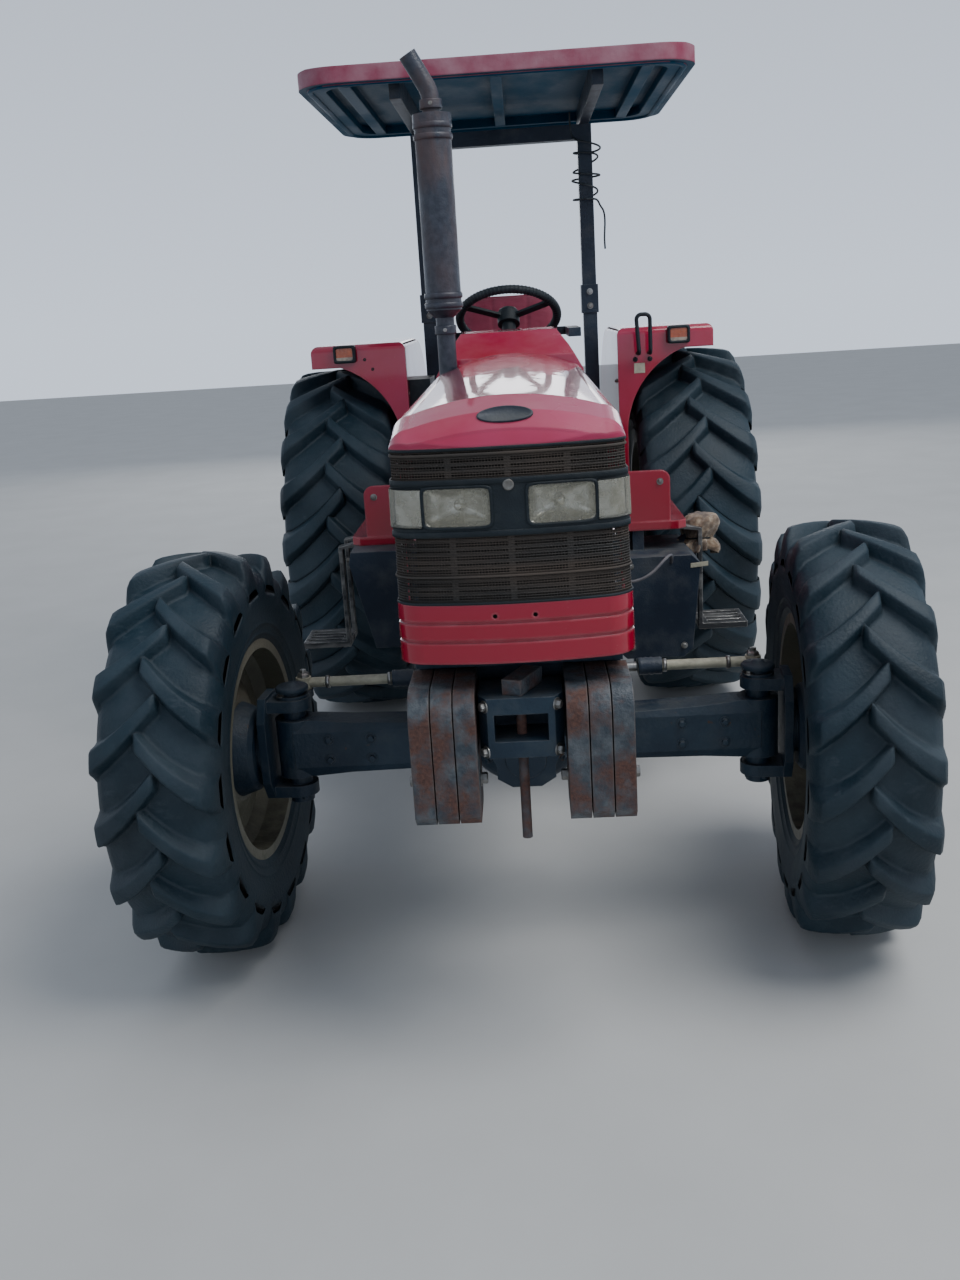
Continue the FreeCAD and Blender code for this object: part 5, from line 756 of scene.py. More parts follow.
# Floor mat: ribbed black rubber cut to the platform and laid loose on it.
mat_x, mat_y = np.linspace(-0.335, 0.335, 135)[:, None], np.linspace(0.0, 0.44, 12)[None, :]
mat_rise = 0.0040 + 0.0022 * np.clip(2 * np.cos(np.arange(135)[:, None] * math.pi / 2), -1, 1) + 0 * mat_y
mat_top = np.stack(np.broadcast_arrays(mat_x, 0.075 + mat_y, 1.0205 + mat_rise), axis=-1)
mat_low = mat_top * np.array([1, 1, 0]) + np.array([0, 0, 1.0202])
mat = np.concatenate([mat_top, mat_low[:, ::-1]], axis=1)
build("floor_mat", "chassis", "black_plastic", [(mat, "CE")], smooth=False)

# Steps: bare steel treads, polished by boots along the edges and brown between, on straps bolted under the
# floor.
tread = Recipe("step_steel")
scuffed = tread.noise(18, 0.42, 0.62, detail=7, stretch=(0.3, 1, 1))
bright_edge = tread.mix("MULTIPLY", tread.edges(0.006), tread.noise(20, 0.30, 0.60))
shine = tread.mix("MAXIMUM", bright_edge, tread.mix("MULTIPLY", scuffed, 0.45))
tread.base(tread.blend(shine, (0.045, 0.048, 0.052), (0.420, 0.410, 0.390)))
tread.rough(shine, 0.70, 0.34)
tread.bump(tread.noise(140, 0.3, 0.7), 0.0008)
tread.set(Metallic=0.6)
finish["step_steel"] = tread.material

# Side boxes: the battery box and the fuel tank are folded sheet in navy paint, bolted under the platform. A
# small bare plate is riveted to the tank by its filler.
plate_points, plate_out = landed("fuel_tank", [(0.615, -1.2, 0.885, 0, 1, 0)])
if plate_points:
    blank = np.array([[-0.030, -0.008], [0.030, -0.008], [0.030, 0.008], [-0.030, 0.008]])
    lean = np.array(plate_out[0])
    blank = np.stack([np.array(plate_points[0]) + blank[:, 0:1] * np.array([1.0, 0, 0.08])
                      + blank[:, 1:2] * np.array([0, 0, 1.0]) + out * lean for out in (-0.001, 0.0015)],
                      axis=0)
    build("tank_plate", "chassis", "tie_rod_paint", [(blank, "CE")], smooth=False)
for name, node, spots in (
        ("battery_box_bolts", "battery_box", [(-0.9, y, 0.96, 1, 0, 0) for y in (-0.43, -0.29)]),
        ("tank_bolts", "fuel_tank", [(x, -1.0, z, 0, 1, 0) for x,
                                     z in ((0.38, 0.60), (0.56, 0.60), (0.38, 0.89))]),
        ("step_bolts", "steps", [(x, -0.155 + y, 0.3, 0, 0, 1) for x in (0.665, -0.665)
                                 for y in (-0.06, 0.06)]),
        ("splash_bolts", "platform", [(side * 0.50, -1.0, 1.16, 0, 1, 0) for side in (1, -1)])):
    bolts(name, node, "chassis", "bright_steel", 0.014, spots)

# Fender lamps: amber ribbed lenses in black frames, screwed to each fender's front; the lower part of each is a
# clear strip. The left fender has a small bare plate and the right one two empty screw holes, whose dark insides
# are painted shade: a shallow black dish in each.
amber = Recipe("amber_lens")
clear_foot = amber.along("z", 1.6135, 1.6145)
orange = amber.blend(amber.noise(30, 0.35, 0.7), (0.420, 0.085, 0.020), (0.260, 0.055, 0.022))
clear = amber.blend(amber.noise(60, 0.4, 0.6), (0.360, 0.300, 0.230), (0.220, 0.180, 0.140))
amber.base(amber.blend(clear_foot, clear, orange))
amber.rough(amber.noise(50, 0.3, 0.7), 0.16, 0.40)
amber.bump(amber.ridges("X", 60), 0.001)
amber.set(Coat_Weight=0.6, Coat_Roughness=0.05)
finish["amber_lens"] = amber.material
frames = []
box_low, box_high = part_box("fender_lamps")
low_z, high_z = box_low[2], box_high[2]
front_y = box_low[1]
for side in (1, -1):
    x_in, x_out = side * 0.640, side * 0.715
    around = np.linspace(0, 2 * math.pi, 96, endpoint=False)
    square = (np.abs(np.cos(around)) ** 9 + np.abs(np.sin(around)) ** 9) ** (-1 / 9)
    rows = [np.stack([(x_in + x_out) / 2 + np.cos(around) * square * (0.0375 + wider),
                      np.full(96, front_y + back),
                      (low_z + high_z) / 2 + np.sin(around) * square * ((high_z - low_z) / 2 + wider)],
                      axis=-1)
            for wider, back in ((-0.0035, 0.004), (-0.0035, -0.0035), (0.0, -0.0050), (0.0055, -0.0040),
                                (0.0075, 0.0), (0.0075, 0.0315))]
    frames.append((np.stack(rows, axis=1), "RC"))
build("fender_lamp_frames", "chassis", "black_plastic", frames)
plate_points = landed("fender_left", [(0.520, 0.2, 1.500, 0, 1, 0)])[0]
if plate_points:
    px, py, pz = plate_points[0]
    around_plate = ((-0.022, -0.020), (0.022, -0.020), (0.022, 0.020), (-0.022, 0.020))
    sheet_plate = np.array([[[px + x, py + deep, pz + z] for x, z in around_plate]
                            for deep in (-0.0008, 0.001)])
    build("fender_plate", "chassis", "tie_rod_paint", [(sheet_plate, "CE")], smooth=False)
hole_places = landed("fender_right", [(-0.600, 0.2, 1.600, 0, 1, 0), (-0.570, 0.2, 1.560, 0, 1, 0)])[0]
if hole_places:
    # Painted shade: a shallow black dish in each empty hole stands in for the dark inside it.
    hole_shade = turned([(0, -0.0015), (0.006, -0.0015), (0.0065, 0.0005), (0.0045, 0.0012), (0, -0.0006)], 20)
    build("fender_grommets", "chassis", "black_plastic", [(set_at(hole_shade, hole_places, (0, -1, 0)), "R")])
for side, word in ((1, "left"), (-1, "right")):
    bolts("fender_bolts_" + word, "fender_" + word, "chassis", "bright_steel", 0.013,
          [(side * 0.2, y, z, side, 0, 0) for y,
           z in ((0.60, 1.10), (0.75, 1.10), (0.60, 1.45), (1.00, 1.10))])
bolts("handle_bolts", "fender_left", "chassis", "black_plastic", 0.012,
      [(0.5035, 0.2, 1.535, 0, 1, 0), (0.5629, 0.2, 1.535, 0, 1, 0)])

# Seat: a sprung cushion and a tall back, both foam under red woven cloth with a piped seam round them, rucked and
# sun-bleached, with painted shade as a darker red along the creases; the cloth is stapled under a steel pan. Each
# pad has two sewn channels.
cloth = Recipe("seat_cloth")
woven_cloth = cloth.mix("MULTIPLY", cloth.ridges("X", 190), cloth.ridges("Z", 190))
bleached = cloth.noise(6, 0.35, 0.70)
creased = cloth.noise(11, 0.40, 0.62, detail=3, stretch=(0.6, 1, 1.6))
thread = cloth.blend(bleached, (0.340, 0.028, 0.070), (0.500, 0.110, 0.170))
# Painted shade: a darker red laid along the creases.
crease_shade = cloth.blend(cloth.mix("MULTIPLY", creased, 0.4), thread, (0.210, 0.020, 0.045))
cloth.base(cloth.blend(woven_cloth, crease_shade, (0.200, 0.020, 0.045)))
cloth.rough(bleached, 0.82, 0.95)
cloth.bump(cloth.mix("ADD", cloth.mix("MULTIPLY", woven_cloth, 0.2), cloth.mix("MULTIPLY", creased, 0.8)),
           0.0035, 0.8)
cloth.set(Sheen_Weight=0.3)
finish["seat_cloth"] = cloth.material


def cushion(name, node, thin, crown, cap):
    """A stuffed pad in a node's box, thin along one axis, its cover blown up a little by pressure.

    Before the pressure the pad is a rounded block: in plan a superellipse of power 5, 12 mm inside the
    node's box, and through its thickness a bulge of (1 - r^4) * crown on each face, where r is the share
    from the middle out.
    """
    low, high = np.array(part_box(node))
    middle, half = (low + high) / 2, (high - low) / 2
    wide = [axis for axis in (0, 1, 2) if axis != thin]
    angle = np.linspace(0, 2 * math.pi, 120, endpoint=False)[:, None]
    # Rows from the middle of one face over the edge to the middle of the other: share out, share of the
    # thickness.
    path = np.array([(0, -1), (0.3, -1), (0.6, -1), (0.85, -0.98), (0.95, -0.86), (0.985, -0.6),
                     (1.0, -0.2), (1.0, 0.2),
                     (0.985, 0.6), (0.95, 0.86), (0.85, 0.98), (0.6, 1), (0.3, 1), (0, 1)])
    share, level = path[:, 0][None, :], path[:, 1][None, :]
    square = (np.abs(np.cos(angle)) ** 5 + np.abs(np.sin(angle)) ** 5) ** (-1 / 5)
    points = np.zeros((120, len(path), 3))
    points[..., wide[0]] = middle[wide[0]] + (half[wide[0]] - 0.012) * share * np.cos(angle) * square
    points[..., wide[1]] = middle[wide[1]] + (half[wide[1]] - 0.012) * share * np.sin(angle) * square
    body_half = half[thin] - crown - 0.004
    points[..., thin] = middle[thin] + level * (body_half + crown * (1 - share ** 4))
    pad = build(name, "chassis", "seat_cloth", [(points, "R")])
    grain = pad.modifiers.new("grain", "REMESH")
    grain.mode = "VOXEL"
    grain.voxel_size = 0.009
    settle(pad)
    start = np.zeros(len(pad.data.vertices) * 3)
    pad.data.vertices.foreach_get("co", start)
    cover = pad.modifiers.new("cover", "CLOTH")
    cover.settings.use_pressure = True
    cover.settings.uniform_pressure_force = 4
    cover.settings.effector_weights.gravity = 0
    for number in range(1, 21):
        bpy.context.scene.frame_set(number)
    settle(pad)
    bpy.context.scene.frame_set(1)
    end = np.zeros(len(start))
    pad.data.vertices.foreach_get("co", end)
    moved = (end - start).reshape(-1, 3)
    length = np.linalg.norm(moved, axis=1, keepdims=True)
    moved *= np.minimum(1, cap / np.maximum(length, 1e-9))
    pad.data.vertices.foreach_set("co", (start.reshape(-1, 3) + moved).ravel())
    smoother = pad.modifiers.new("smooth", "SUBSURF")
    smoother.levels = smoother.render_levels = 1
    settle(pad)
    pad.data.polygons.foreach_set("use_smooth", [True] * len(pad.data.polygons))
    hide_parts(node)
    return pad, middle, half, wide


def settle(piece):
    """Puts the result of the piece's modifiers into its mesh and takes them off."""
    shaped = bpy.data.meshes.new_from_object(piece.evaluated_get(bpy.context.evaluated_depsgraph_get()))
    piece.modifiers.clear()
    piece.data = shaped


def sewn(pad, thin, side_of, lines, across, depth=0.007, width=0.010):
    """Presses sewn channels into one face: a point near a line goes in by depth * exp(-(gap / width)^2)."""
    points = np.zeros(len(pad.data.vertices) * 3)
    pad.data.vertices.foreach_get("co", points)
    points = points.reshape(-1, 3)
    middle = (points[:, thin].min() + points[:, thin].max()) / 2
    facing = np.clip((points[:, thin] - middle) * side_of / 0.02, 0, 1)
    for line in lines:
        points[:, thin] -= side_of * depth * facing * np.exp(-((points[:, across] - line) / width) ** 2)
    pad.data.vertices.foreach_set("co", points.ravel())
    pad.data.update()


def piping(name, pad, middle, half, wide, thin, level):
    """A piped seam: a thin round cord laid on the pad's edge, its path the pad's outline brought to its
    surface."""
    angle = np.linspace(0, 2 * math.pi, 160, endpoint=False)
    square = (np.abs(np.cos(angle)) ** 5 + np.abs(np.sin(angle)) ** 5) ** (-1 / 5)
    path = np.zeros((160, 3))
    path[:, wide[0]] = middle[wide[0]] + half[wide[0]] * 1.02 * np.cos(angle) * square
    path[:, wide[1]] = middle[wide[1]] + half[wide[1]] * 1.02 * np.sin(angle) * square
    path[:, thin] = middle[thin] + level * half[thin]
    path = np.array([tuple(pad.closest_point_on_mesh(Vector(p))[1]) for p in path])
    path = (np.roll(path, 1, 0) + path + np.roll(path, -1, 0)) / 3
    ahead = np.roll(path, -1, 0) - np.roll(path, 1, 0)
    ahead /= np.linalg.norm(ahead, axis=1, keepdims=True)
    up = np.zeros(3)
    up[thin] = 1.0
    out = np.cross(ahead, up)
    out /= np.linalg.norm(out, axis=1, keepdims=True)
    turn_at = np.linspace(0, 2 * math.pi, 8, endpoint=False)
    across, rise = np.cos(turn_at)[None, :, None], np.sin(turn_at)[None, :, None]
    tube = path[:, None] + 0.0042 * (across * out[:, None] + rise * up)
    build(name, "chassis", "seat_cloth", [(tube, "RC")])


pad, middle, half, wide = cushion("seat_cushion_pad", "seat_cushion", 2, 0.016, 0.012)
sewn(pad, 2, 1, (-0.075, 0.075), 0)
piping("seat_cushion_piping", pad, middle, half, wide, 2, 0.55)
pad, middle, half, wide = cushion("seat_back_pad", "seat_back", 1, 0.016, 0.012)
sewn(pad, 1, -1, (-0.075, 0.075), 0)
piping("seat_back_piping", pad, middle, half, wide, 1, -0.45)

# Roll bar: square tube posts in navy paint with sleeves where they were spliced, a foot plate bolted to
# each side of the axle case, and the arms that carry the roof; the bolts go right through.
bolts("post_bolts", "roll_bar", "chassis", "bright_steel", 0.016,
      [(x, 0.7, z, 0, 1, 0) for x in (0.355, -0.355) for z in (1.755, 1.815)]
      + [(x, 1.4, z, 0, -1, 0) for x in (0.355, -0.355) for z in (1.755, 1.815)])
bolts("roll_foot_bolts", "roll_bar", "chassis", "bright_steel", 0.018,
      [(side * 0.400, 1.030 + dy, 1.4, 0, 0, -1) for side in (1, -1) for dy in (-0.050, 0.050)])

# Roof shell: moulded in one sheet, its edge dusty pink and its underside dark blue with paler streaks. A lip
# runs round its rim, three ribs stiffen the recess underneath, and six bolts hold it down from above.
shell = Recipe("roof_plastic")
near_side = shell.mix("MAXIMUM", shell.along("x", 0.50, 0.65), shell.along("x", -0.50, -0.65))
near_end = shell.mix("MAXIMUM", shell.along("y", 0.12, -0.03), shell.along("y", 1.14, 1.29))
corner_reach = shell.spread(shell.mix("MULTIPLY", near_side, near_end), 0.70, 0.80)
rim_reach = shell.mix("MAXIMUM", shell.spread(shell.mix("MAXIMUM", near_side, near_end), 0.99, 1.00),
                      corner_reach)
outer_wall = shell.mix("MULTIPLY", rim_reach, shell.facing("z", -0.45, -0.30))
above = shell.mix("MAXIMUM", shell.facing("z", 0.30, 0.40), outer_wall)
streaks = shell.noise(5, 0.42, 0.72, detail=6, stretch=(1, 0.4, 1))
under = shell.blend(streaks, (0.003, 0.055, 0.110), (0.012, 0.090, 0.160))
scuffed_edge = shell.mix("MULTIPLY", shell.edges(0.008), shell.noise(14, 0.30, 0.62, detail=6))
edge_pink = shell.blend(shell.noise(8, 0.35, 0.65), (0.230, 0.050, 0.085), (0.300, 0.150, 0.185))
worn_under = shell.blend(shell.mix("MULTIPLY", scuffed_edge, 0.6), under, (0.090, 0.120, 0.150))
shell.base(shell.blend(above, worn_under, edge_pink))
shell.rough(streaks, 0.40, 0.75)
shell.bump(shell.noise(60, 0.3, 0.7), 0.0008)
shell.set(Specular_IOR_Level=0.1)
finish["roof_plastic"] = shell.material
roof_low, roof_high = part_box("roof")
rim_middle = np.array([(roof_low[0] + roof_high[0]) / 2, (roof_low[1] + roof_high[1]) / 2])
rim_half = np.array([(roof_high[0] - roof_low[0]) / 2, (roof_high[1] - roof_low[1]) / 2])


def rounded_path(half, corner, count):
    """A rectangle with round corners: straight runs and quarter circles, with that many points and outward
    normals."""
    quarter = np.linspace(0, math.pi / 2, 13)
    path, out = [], []
    for number, (sx, sy) in enumerate(((1, 1), (-1, 1), (-1, -1), (1, -1))):
        angle = quarter + number * math.pi / 2
        path.append(np.stack([sx * (half[0] - corner) + corner * np.cos(angle),
                              sy * (half[1] - corner) + corner * np.sin(angle)], axis=-1))
        out.append(np.stack([np.cos(angle), np.sin(angle)], axis=-1))
    path, out = np.concatenate(path), np.concatenate(out)
    closed = np.concatenate([path, path[:1]])
    along = np.concatenate([[0], np.cumsum(np.linalg.norm(np.diff(closed, axis=0), axis=1))])
    spots = np.linspace(0, along[-1], count, endpoint=False)
    out = np.concatenate([out, out[:1]])
    place = np.stack([np.interp(spots, along, closed[:, k]) for k in (0, 1)], axis=-1)
    normal = np.stack([np.interp(spots, along, out[:, k]) for k in (0, 1)], axis=-1)
    return place, normal / np.linalg.norm(normal, axis=1, keepdims=True)


def moulding(half, corner, section):
    """A section of (out, up) carried round a rectangle with round corners, centred under the roof."""
    place, normal = rounded_path(half, corner, 240)
    return np.stack([np.concatenate([place + out * normal + rim_middle, np.full((240, 1), up)], axis=1)
                     for out, up in section], axis=1)


lip = [(0.0, roof_low[2] + 0.003), (0.0, roof_low[2] - 0.004), (-0.006, roof_low[2] - 0.008),
       (-0.016, roof_low[2] - 0.008), (-0.020, roof_low[2] - 0.003), (-0.020, roof_low[2] + 0.003)]
build("roof_lip", "chassis", "roof_plastic", [(moulding(rim_half - 0.028, 0.125, lip), "RC")])
bolts("roof_bolts", "roof", "chassis", "bright_steel", 0.016,
      [(side * 0.355, y, 3.0, 0, 0, -1) for side in (1, -1) for y in (0.15, 0.60, 1.05)])

# Wheels: pressed steel discs in beige enamel, dull with dust that thickens in the well, each held to its
# hub by eight nuts on studs, with a steel valve through the rim; they turn with the wheel.
weathered("rim_paint", (0.125, 0.122, 0.092), (0.180, 0.172, 0.128), (0.060, 0.058, 0.046), 5.0, 0.45, 0.60,
          120, rust=(0.075, 0.045, 0.028), rust_from=0.68, worn=(0.210, 0.200, 0.160))
spins = {joint["child"]: joint for joint in frame["joints"] if "wheel" in joint["child"]}


def wheel_circle(spin, count, radius, start=0.0):
    """Ray starts on a circle beside a wheel's outer face, aimed back along its axle."""
    axle = np.array(spin["axis"], float)
    middle = np.array(spin["pos_m"], float)
    outward = axle * (1 if middle[0] > 0 else -1)
    ahead = np.cross(axle, (0, 0, 1.0))
    angle = start + 2 * math.pi * np.arange(count)[:, None] / count
    starts = middle + 0.45 * outward + radius * (np.cos(angle) * ahead
                                                 + np.sin(angle) * np.array([0, 0, 1.0]))
    return np.column_stack([starts, np.tile(-outward, (count, 1))]).tolist()


for word in ("left", "right"):
    for end, nut_circle, valve_circle in (("front", 0.098, 0.262), ("rear", 0.100, 0.330)):
        body, rim = "%s_wheel_%s" % (end, word), "%s_rim_%s" % (end, word)
        spin = spins[body]
        bolts("%s_wheel_nuts_%s" % (end, word), rim, body, "bright_steel", 0.024,
              wheel_circle(spin, 8, nut_circle))
        places = landed(rim, wheel_circle(spin, 1, valve_circle, 1.1))[0]
        if places:
            stem = turned([(0, -0.003), (0.008, -0.003), (0.008, 0.006), (0.0045, 0.009), (0.0045, 0.030),
                           (0.0060, 0.031), (0.0060, 0.042), (0, 0.043)], 20)
            out = np.array(spin["axis"]) * (1 if spin["pos_m"][0] > 0 else -1)
            build("%s_valve_%s" % (end, word), body, "bright_steel", [(set_at(stem, places, out), "R")])

# Tyres: blue-black rubber, scuffed pale on the lugs and with dry clay wiped over the sides. Each is a
# casing with two rows of slanting lugs moulded on it, so that the points of the V meet the ground last.
rubber = Recipe("tyre_rubber")
clay = rubber.noise(5, 0.44, 0.74, detail=8, roughness=0.62)
scuffs = rubber.noise(34, 0.56, 0.72, detail=8, stretch=(0.5, 1, 1), roughness=0.7)
lug_edges = rubber.mix("MULTIPLY", rubber.edges(0.010, 0.02, 0.12), rubber.noise(16, 0.32, 0.62, detail=6))
grime = rubber.mix("MULTIPLY", rubber.mix("MAXIMUM", clay, rubber.mix("MAXIMUM", scuffs, lug_edges)), 0.50)
fresh = rubber.blend(rubber.noise(2.4, 0.35, 0.65), (0.0045, 0.0150, 0.0230), (0.0110, 0.0310, 0.0460))
rubber.base(rubber.blend(grime, fresh, (0.062, 0.080, 0.094)))
rubber.rough(grime, 0.52, 0.93)
rubber.bump(rubber.noise(110, 0.3, 0.7, detail=9), 0.0012)
rubber.set(Specular_IOR_Level=0.35)
finish["tyre_rubber"] = rubber.material


def tyre(name, node, body, spin, outer, width, bead, lugs, lug_height, tread_half):
    """One agricultural tyre: a casing turned about its axle, with slanting lugs in two staggered rows.

    The casing's section runs from bead to bead: offset width/2 half way up the wall, with three thin rings
    on it, shoulder at tread_half, and a crown of radius outer - lug_height. At share u of tread_half a
    lug's middle has turned (0.95 u - 0.25 u^2) * 1.25 * tread_half / outer about the axle, so it leans
    about 45 degrees and flattens outwards; its end folds down over the shoulder. Both rows point the same
    way round, half a pitch apart.
    """
    crown = outer - lug_height
    wall = crown - bead
    half = width / 2
    one_side = [(half * 0.74, bead), (half * 0.84, bead + wall * 0.06), (half * 0.880, bead + wall * 0.12),
                (half * 0.900, bead + wall * 0.125), (half * 0.905, bead + wall * 0.155),
                (half * 0.893, bead + wall * 0.16),
                (half * 0.93, bead + wall * 0.24), (half * 0.945, bead + wall * 0.245),
                (half * 0.948, bead + wall * 0.265),
                (half * 0.94, bead + wall * 0.27), (half * 0.985, bead + wall * 0.45),
                (half, bead + wall * 0.60),
                (half * 0.985, bead + wall * 0.74), (tread_half + 0.006, crown - 0.036),
                (tread_half * 0.90, crown - 0.017), (tread_half * 0.5, crown - 0.005), (0, crown)]
    section = [(-across, radius) for across, radius in one_side] + list(reversed(one_side[:-1]))
    section += [(half * 0.60, bead + 0.012), (-half * 0.60, bead + 0.012)]
    casing = turned([(radius, across) for across, radius in section], 144)
    # Lug section: share of its half thickness, share of its height.
    bar = np.array([(-1.70, -0.40), (-1.25, 0.12), (-0.92, 0.80), (-0.72, 0.98), (0, 1.0), (0.72, 0.98),
                    (0.92, 0.80), (1.25, 0.12), (1.70, -0.40)])
    # Lug length: share of tread_half, share of the lug's height, drop below the crown.
    station = np.array([(-0.20, -0.3, 0), (-0.17, 0.80, 0), (-0.12, 1.0, 0), (0.2, 1.0, 0.001),
                        (0.45, 1.0, 0.003),
                        (0.7, 1.0, 0.007), (0.9, 1.0, 0.012), (1.0, 0.98, 0.017), (1.07, 0.85, 0.030),
                        (1.12, 0.62, 0.050), (1.13, 0.25, 0.070), (1.08, -0.2, 0.085)])
    thick = 0.0265 * outer / 0.58
    share, high, drop = [station[:, k][None, :, None] for k in range(3)]
    across, rise = bar[:, 0][None, None, :], bar[:, 1][None, None, :]
    lead = (0.95 * share - 0.25 * share * np.abs(share)) * tread_half * 1.25 / outer
    radius = crown - drop + lug_height * np.where(rise > 0, rise * high, rise)
    shells = [(set_at(casing, spin["pos_m"], spin["axis"]), "RC")]
    for row in (-1, 1):
        start = (np.arange(lugs) + (0.5 if row > 0 else 0))[:, None, None] * 2 * math.pi / lugs
        angle = start + lead + across * thick * (1 + 0.30 * np.maximum(share, 0)) / outer
        lug = np.stack(np.broadcast_arrays(-radius * np.sin(angle), radius * np.cos(angle),
                                           row * share * tread_half), -1)
        shells.append((set_at(lug, spin["pos_m"], spin["axis"]), "CE"))
    piece = build(name, body, "tyre_rubber", shells)
    softened(piece, 0.004, 2, 38)
    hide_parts(node)


# By end: outer radius, width, bead radius, lugs in a row, height of a lug, half the tread's width.
tyre_sizes = {"front": (0.580, 0.320, 0.305, 18, 0.037, 0.142),
              "rear": (0.774, 0.467, 0.381, 21, 0.044, 0.208)}
for word in ("left", "right"):
    for end, sizes in tyre_sizes.items():
        node, body = "%s_tyre_%s" % (end, word), "%s_wheel_%s" % (end, word)
        tyre(node + "_lugged", node, body, spins[body], *sizes)

# Breather hose: 10 mm grey rubber hose from the fuel tank's top to the engine's side, hanging in one slack
# curve under the platform's edge, and pushed over a stub at each end.
def cord_piece(name, points, diameter, body, material):
    """A round cord on a smooth spline whose control points are given."""
    line = bpy.data.curves.new(name, "CURVE")
    line.dimensions = "3D"
    line.resolution_u = 10
    line.bevel_depth = diameter / 2
    line.bevel_resolution = 4
    line.use_fill_caps = True
    spline = line.splines.new("NURBS")
    spline.points.add(len(points) - 1)
    spline.points.foreach_set("co", np.column_stack([points, np.ones(len(points))]).ravel())
    spline.order_u = 3
    spline.use_endpoint_u = True
    piece = bpy.data.objects.new(name, line)
    bpy.context.scene.collection.objects.link(piece)
    line.materials.append(material)
    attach(piece, body)
    return piece


grey = Recipe("hose_rubber")
dusted = grey.noise(40, 0.35, 0.70, detail=6)
grey.base(grey.blend(dusted, (0.080, 0.078, 0.090), (0.160, 0.154, 0.160)))
grey.rough(dusted, 0.50, 0.85)
grey.bump(grey.noise(400, 0.3, 0.7), 0.0003)
hose_route = np.array([(0.520, -0.436, 0.888), (0.520, -0.462, 0.908), (0.516, -0.500, 0.934),
                       (0.500, -0.538, 0.940),
                       (0.472, -0.566, 0.920), (0.440, -0.584, 0.893), (0.400, -0.595, 0.874),
                       (0.350, -0.601, 0.868),
                       (0.295, -0.602, 0.878), (0.245, -0.601, 0.892), (0.205, -0.600, 0.903)])
hose = cord_piece("breather_hose", hose_route, 0.010, "chassis", grey.material)

# Post wire: 8 mm black two-core lead for a work lamp that has gone. It comes out from under the roof, is
# wound a little over four times round the left post, and its end hangs down beside it.
lead = Recipe("lead_sheath")
lead.base(lead.blend(lead.noise(60, 0.35, 0.65), (0.012, 0.020, 0.026), (0.040, 0.055, 0.062)))
lead.rough(lead.noise(80, 0.3, 0.7), 0.45, 0.80)
lead.bump(lead.noise(500, 0.3, 0.7), 0.0002)
turn_step = np.arange(52)
winding = 4.04 + turn_step * 2 * math.pi / 12
loose = 0.056 + 0.012 * np.sin(turn_step * 0.55) + 0.005 * np.sin(turn_step * 0.23 + 1.0)
drop = 2.436 - 0.0050 * turn_step - 0.014 * np.sin(turn_step * 0.33)
round_post = np.column_stack([0.355 + loose * np.cos(winding), 1.030 + loose * np.sin(winding), drop])
wire_route = np.vstack([[(0.296, 0.990, 2.548), (0.295, 0.996, 2.520), (0.296, 1.001, 2.492),
                         (0.299, 1.003, 2.467), (0.305, 0.999, 2.448)], round_post,
                        [(0.414, 1.012, 2.168), (0.428, 1.028, 2.152), (0.434, 1.040, 2.126),
                         (0.434, 1.042, 2.093),
                         (0.431, 1.038, 2.060), (0.429, 1.035, 2.025), (0.431, 1.034, 1.990)]])
wire = cord_piece("post_wire", wire_route, 0.008, "chassis", lead.material)

# Filler rag: a square of beige cotton tied over the fuel filler in place of its cap. It bunches round the
# neck below its string and its corners hang out in folds.
cotton = Recipe("cotton_rag")
soaked = cotton.noise(22, 0.40, 0.62, detail=7)
threads = cotton.mix("MULTIPLY", cotton.ridges("X", 420), cotton.ridges("Z", 420))
dry = cotton.blend(cotton.noise(90, 0.42, 0.58), (0.260, 0.180, 0.115), (0.440, 0.350, 0.250))
cotton.base(cotton.blend(soaked, dry, (0.100, 0.068, 0.044)))
cotton.rough(soaked, 0.95, 0.80)
cotton.bump(cotton.mix("ADD", cotton.mix("MULTIPLY", threads, 0.3), cotton.mix("MULTIPLY", soaked, 0.6)),
            0.0016, 0.8)
cotton.set(Sheen_Weight=0.3)
neck_top = np.array([0.662, -0.170, 0.9897])
round_at = np.linspace(0, 2 * math.pi, 180, endpoint=False)[:, None]
reach_out = np.linspace(0.0, 1.0, 60)[None, :]
# By share of the way from the cloth's middle to its edge: distance out, height over the neck and depth of
# the folds.
knots = np.array([0, 0.10, 0.20, 0.30, 0.40, 0.50, 0.58, 0.66, 0.72, 0.80, 0.90, 1.0])
out_at = np.interp(reach_out, knots, [0, 0.028, 0.050, 0.063, 0.068, 0.066, 0.057, 0.050, 0.056, 0.066,
                                      0.073, 0.076])
rise_at = np.interp(reach_out, knots, [0.024, 0.023, 0.017, 0.004, -0.014, -0.032, -0.048, -0.060, -0.068,
                                       -0.078, -0.094, -0.110])
fold = np.interp(reach_out, knots, [0, 0, 0.01, 0.02, 0.03, 0.04, 0.06, 0.09, 0.12, 0.16, 0.19, 0.20])
waves = (np.sin(8 * round_at + 0.6) + 0.6 * np.sin(13 * round_at + 2.1 + 3 * reach_out)
         + 0.4 * np.sin(19 * round_at + 1))
crumple = 0.0034 * np.sin(5 * round_at + 14 * reach_out) * np.sin(9 * reach_out + 2 * round_at)
crumple = crumple * np.minimum(1, 5 * reach_out)
droop = np.where(reach_out > 0.66, 1 + 0.12 * (reach_out - 0.66) / 0.34 * np.cos(3 * round_at + 0.5), 1)
radius = out_at * (1 + fold * waves) + crumple
height = rise_at * droop + crumple
lean = 0.20 * np.minimum(0, height)
rag_points = neck_top + np.stack([lean + radius * np.cos(round_at), radius * np.sin(round_at), height],
                                 axis=-1)
rag = build("filler_rag", "chassis", "tie_rod_paint", [(rag_points, "R")], turn_out=False)
rag.data.materials[0] = cotton.material
weave = rag.modifiers.new("cloth", "SOLIDIFY")
weave.thickness = 0.0016
weave.offset = 0
tie_turn = np.linspace(0, 2 * math.pi, 90, endpoint=False)
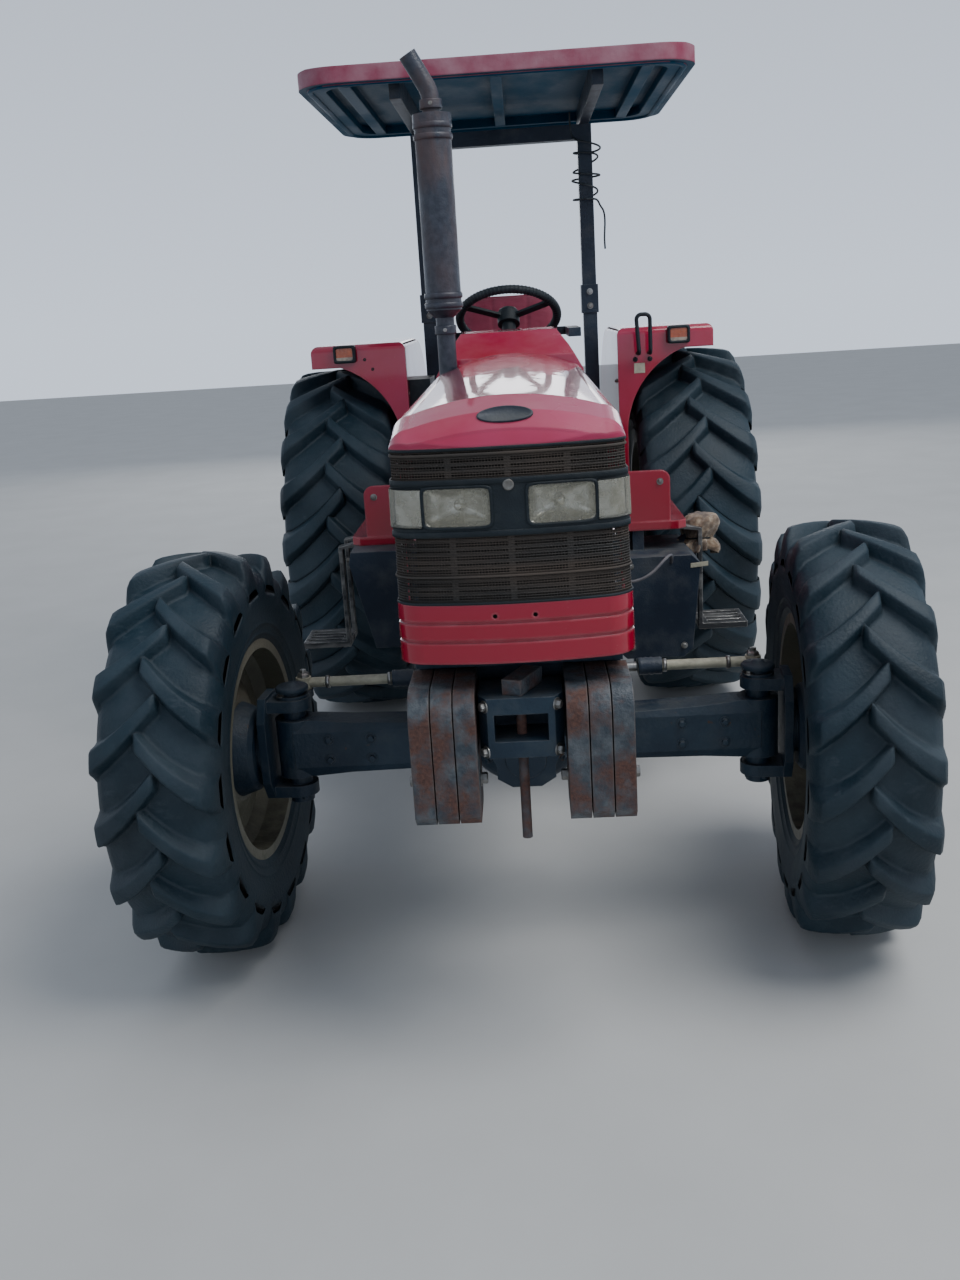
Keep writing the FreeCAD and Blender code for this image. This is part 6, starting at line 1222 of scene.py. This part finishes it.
tie_path = neck_top + np.stack([0.0545 * np.cos(tie_turn) - 0.012, 0.0545 * np.sin(tie_turn),
                                0.002 * np.sin(3 * tie_turn) - 0.060], axis=-1)
ahead = np.roll(tie_path, -1, 0) - np.roll(tie_path, 1, 0)
ahead /= np.linalg.norm(ahead, axis=1, keepdims=True)
out_from = np.stack([np.cos(tie_turn), np.sin(tie_turn), 0 * tie_turn], axis=-1)
ring_turn = np.linspace(0, 2 * math.pi, 8, endpoint=False)[None, :, None]
across = np.cross(ahead, out_from)
string = tie_path[:, None] + 0.0028 * (np.cos(ring_turn) * out_from[:, None]
                                       + np.sin(ring_turn) * across[:, None])
build("filler_string", "chassis", "black_plastic", [(string, "RC")])

# Every CAD node takes the finish of its own slot.
for part in frame["record"]["subparts"]:
    for place in frame["nodes"][part["node"]].material_slots:
        place.material = finish[part["material_slot"]]

# Floor: a wide pale sheet under the tyres.
reach = 30.0
sheet = np.array([[(x, y, 0) for x in (-reach, reach)] for y in (-reach, reach)])
floor = build("floor", None, None, [(sheet, "")])
pale = Recipe("floor_pale")
pale.base(pale.blend(pale.noise(2, 0.3, 0.7), (0.50, 0.50, 0.485), (0.54, 0.54, 0.525)))
pale.set(Roughness=0.9)
floor.data.materials.append(pale.material)

# Light: an overcast sky, brighter low down, and one broad soft lamp high up in front, on the tractor's left.
world = bpy.data.worlds.new("sky")
bpy.context.scene.world = world
world.use_nodes = True
sky = world.node_tree
direction = sky.nodes.new("ShaderNodeTexCoord")
parts = sky.nodes.new("ShaderNodeSeparateXYZ")
rise = sky.nodes.new("ShaderNodeMapRange")
rise.inputs["From Min"].default_value = 0.0
rise.inputs["From Max"].default_value = 0.55
rise.inputs["To Min"].default_value = 1.15
rise.inputs["To Max"].default_value = 0.58
sky.links.new(direction.outputs["Generated"], parts.inputs["Vector"])
sky.links.new(parts.outputs["Z"], rise.inputs["Value"])
sky.links.new(rise.outputs["Result"], sky.nodes["Background"].inputs["Strength"])
sky.nodes["Background"].inputs["Color"].default_value = (0.76, 0.85, 1.0, 1)
lamp_data = bpy.data.lights.new("soft_key", "AREA")
lamp_data.shape = "DISK"
lamp_data.size = 5.0
lamp_data.energy = 420
lamp = bpy.data.objects.new("soft_key", lamp_data)
lamp.location = (3.5, -2.5, 7.0)
lamp.rotation_euler = (Vector((0, 0, 1.0)) - lamp.location).to_track_quat("-Z", "Y").to_euler()
bpy.context.scene.collection.objects.link(lamp)

# Back panel: a wide soft light behind the tractor, out of the camera's sight, which the hood's top mirrors.
panel_data = bpy.data.lights.new("back_panel", "AREA")
panel_data.shape = "RECTANGLE"
panel_data.size = 11.0
panel_data.size_y = 3.4
panel_data.energy = 250
panel = bpy.data.objects.new("back_panel", panel_data)
panel.location = (0, 11.0, 4.2)
panel.rotation_euler = (Vector((0, 0, 1.5)) - panel.location).to_track_quat("-Z", "Y").to_euler()
panel.visible_camera = False
bpy.context.scene.collection.objects.link(panel)
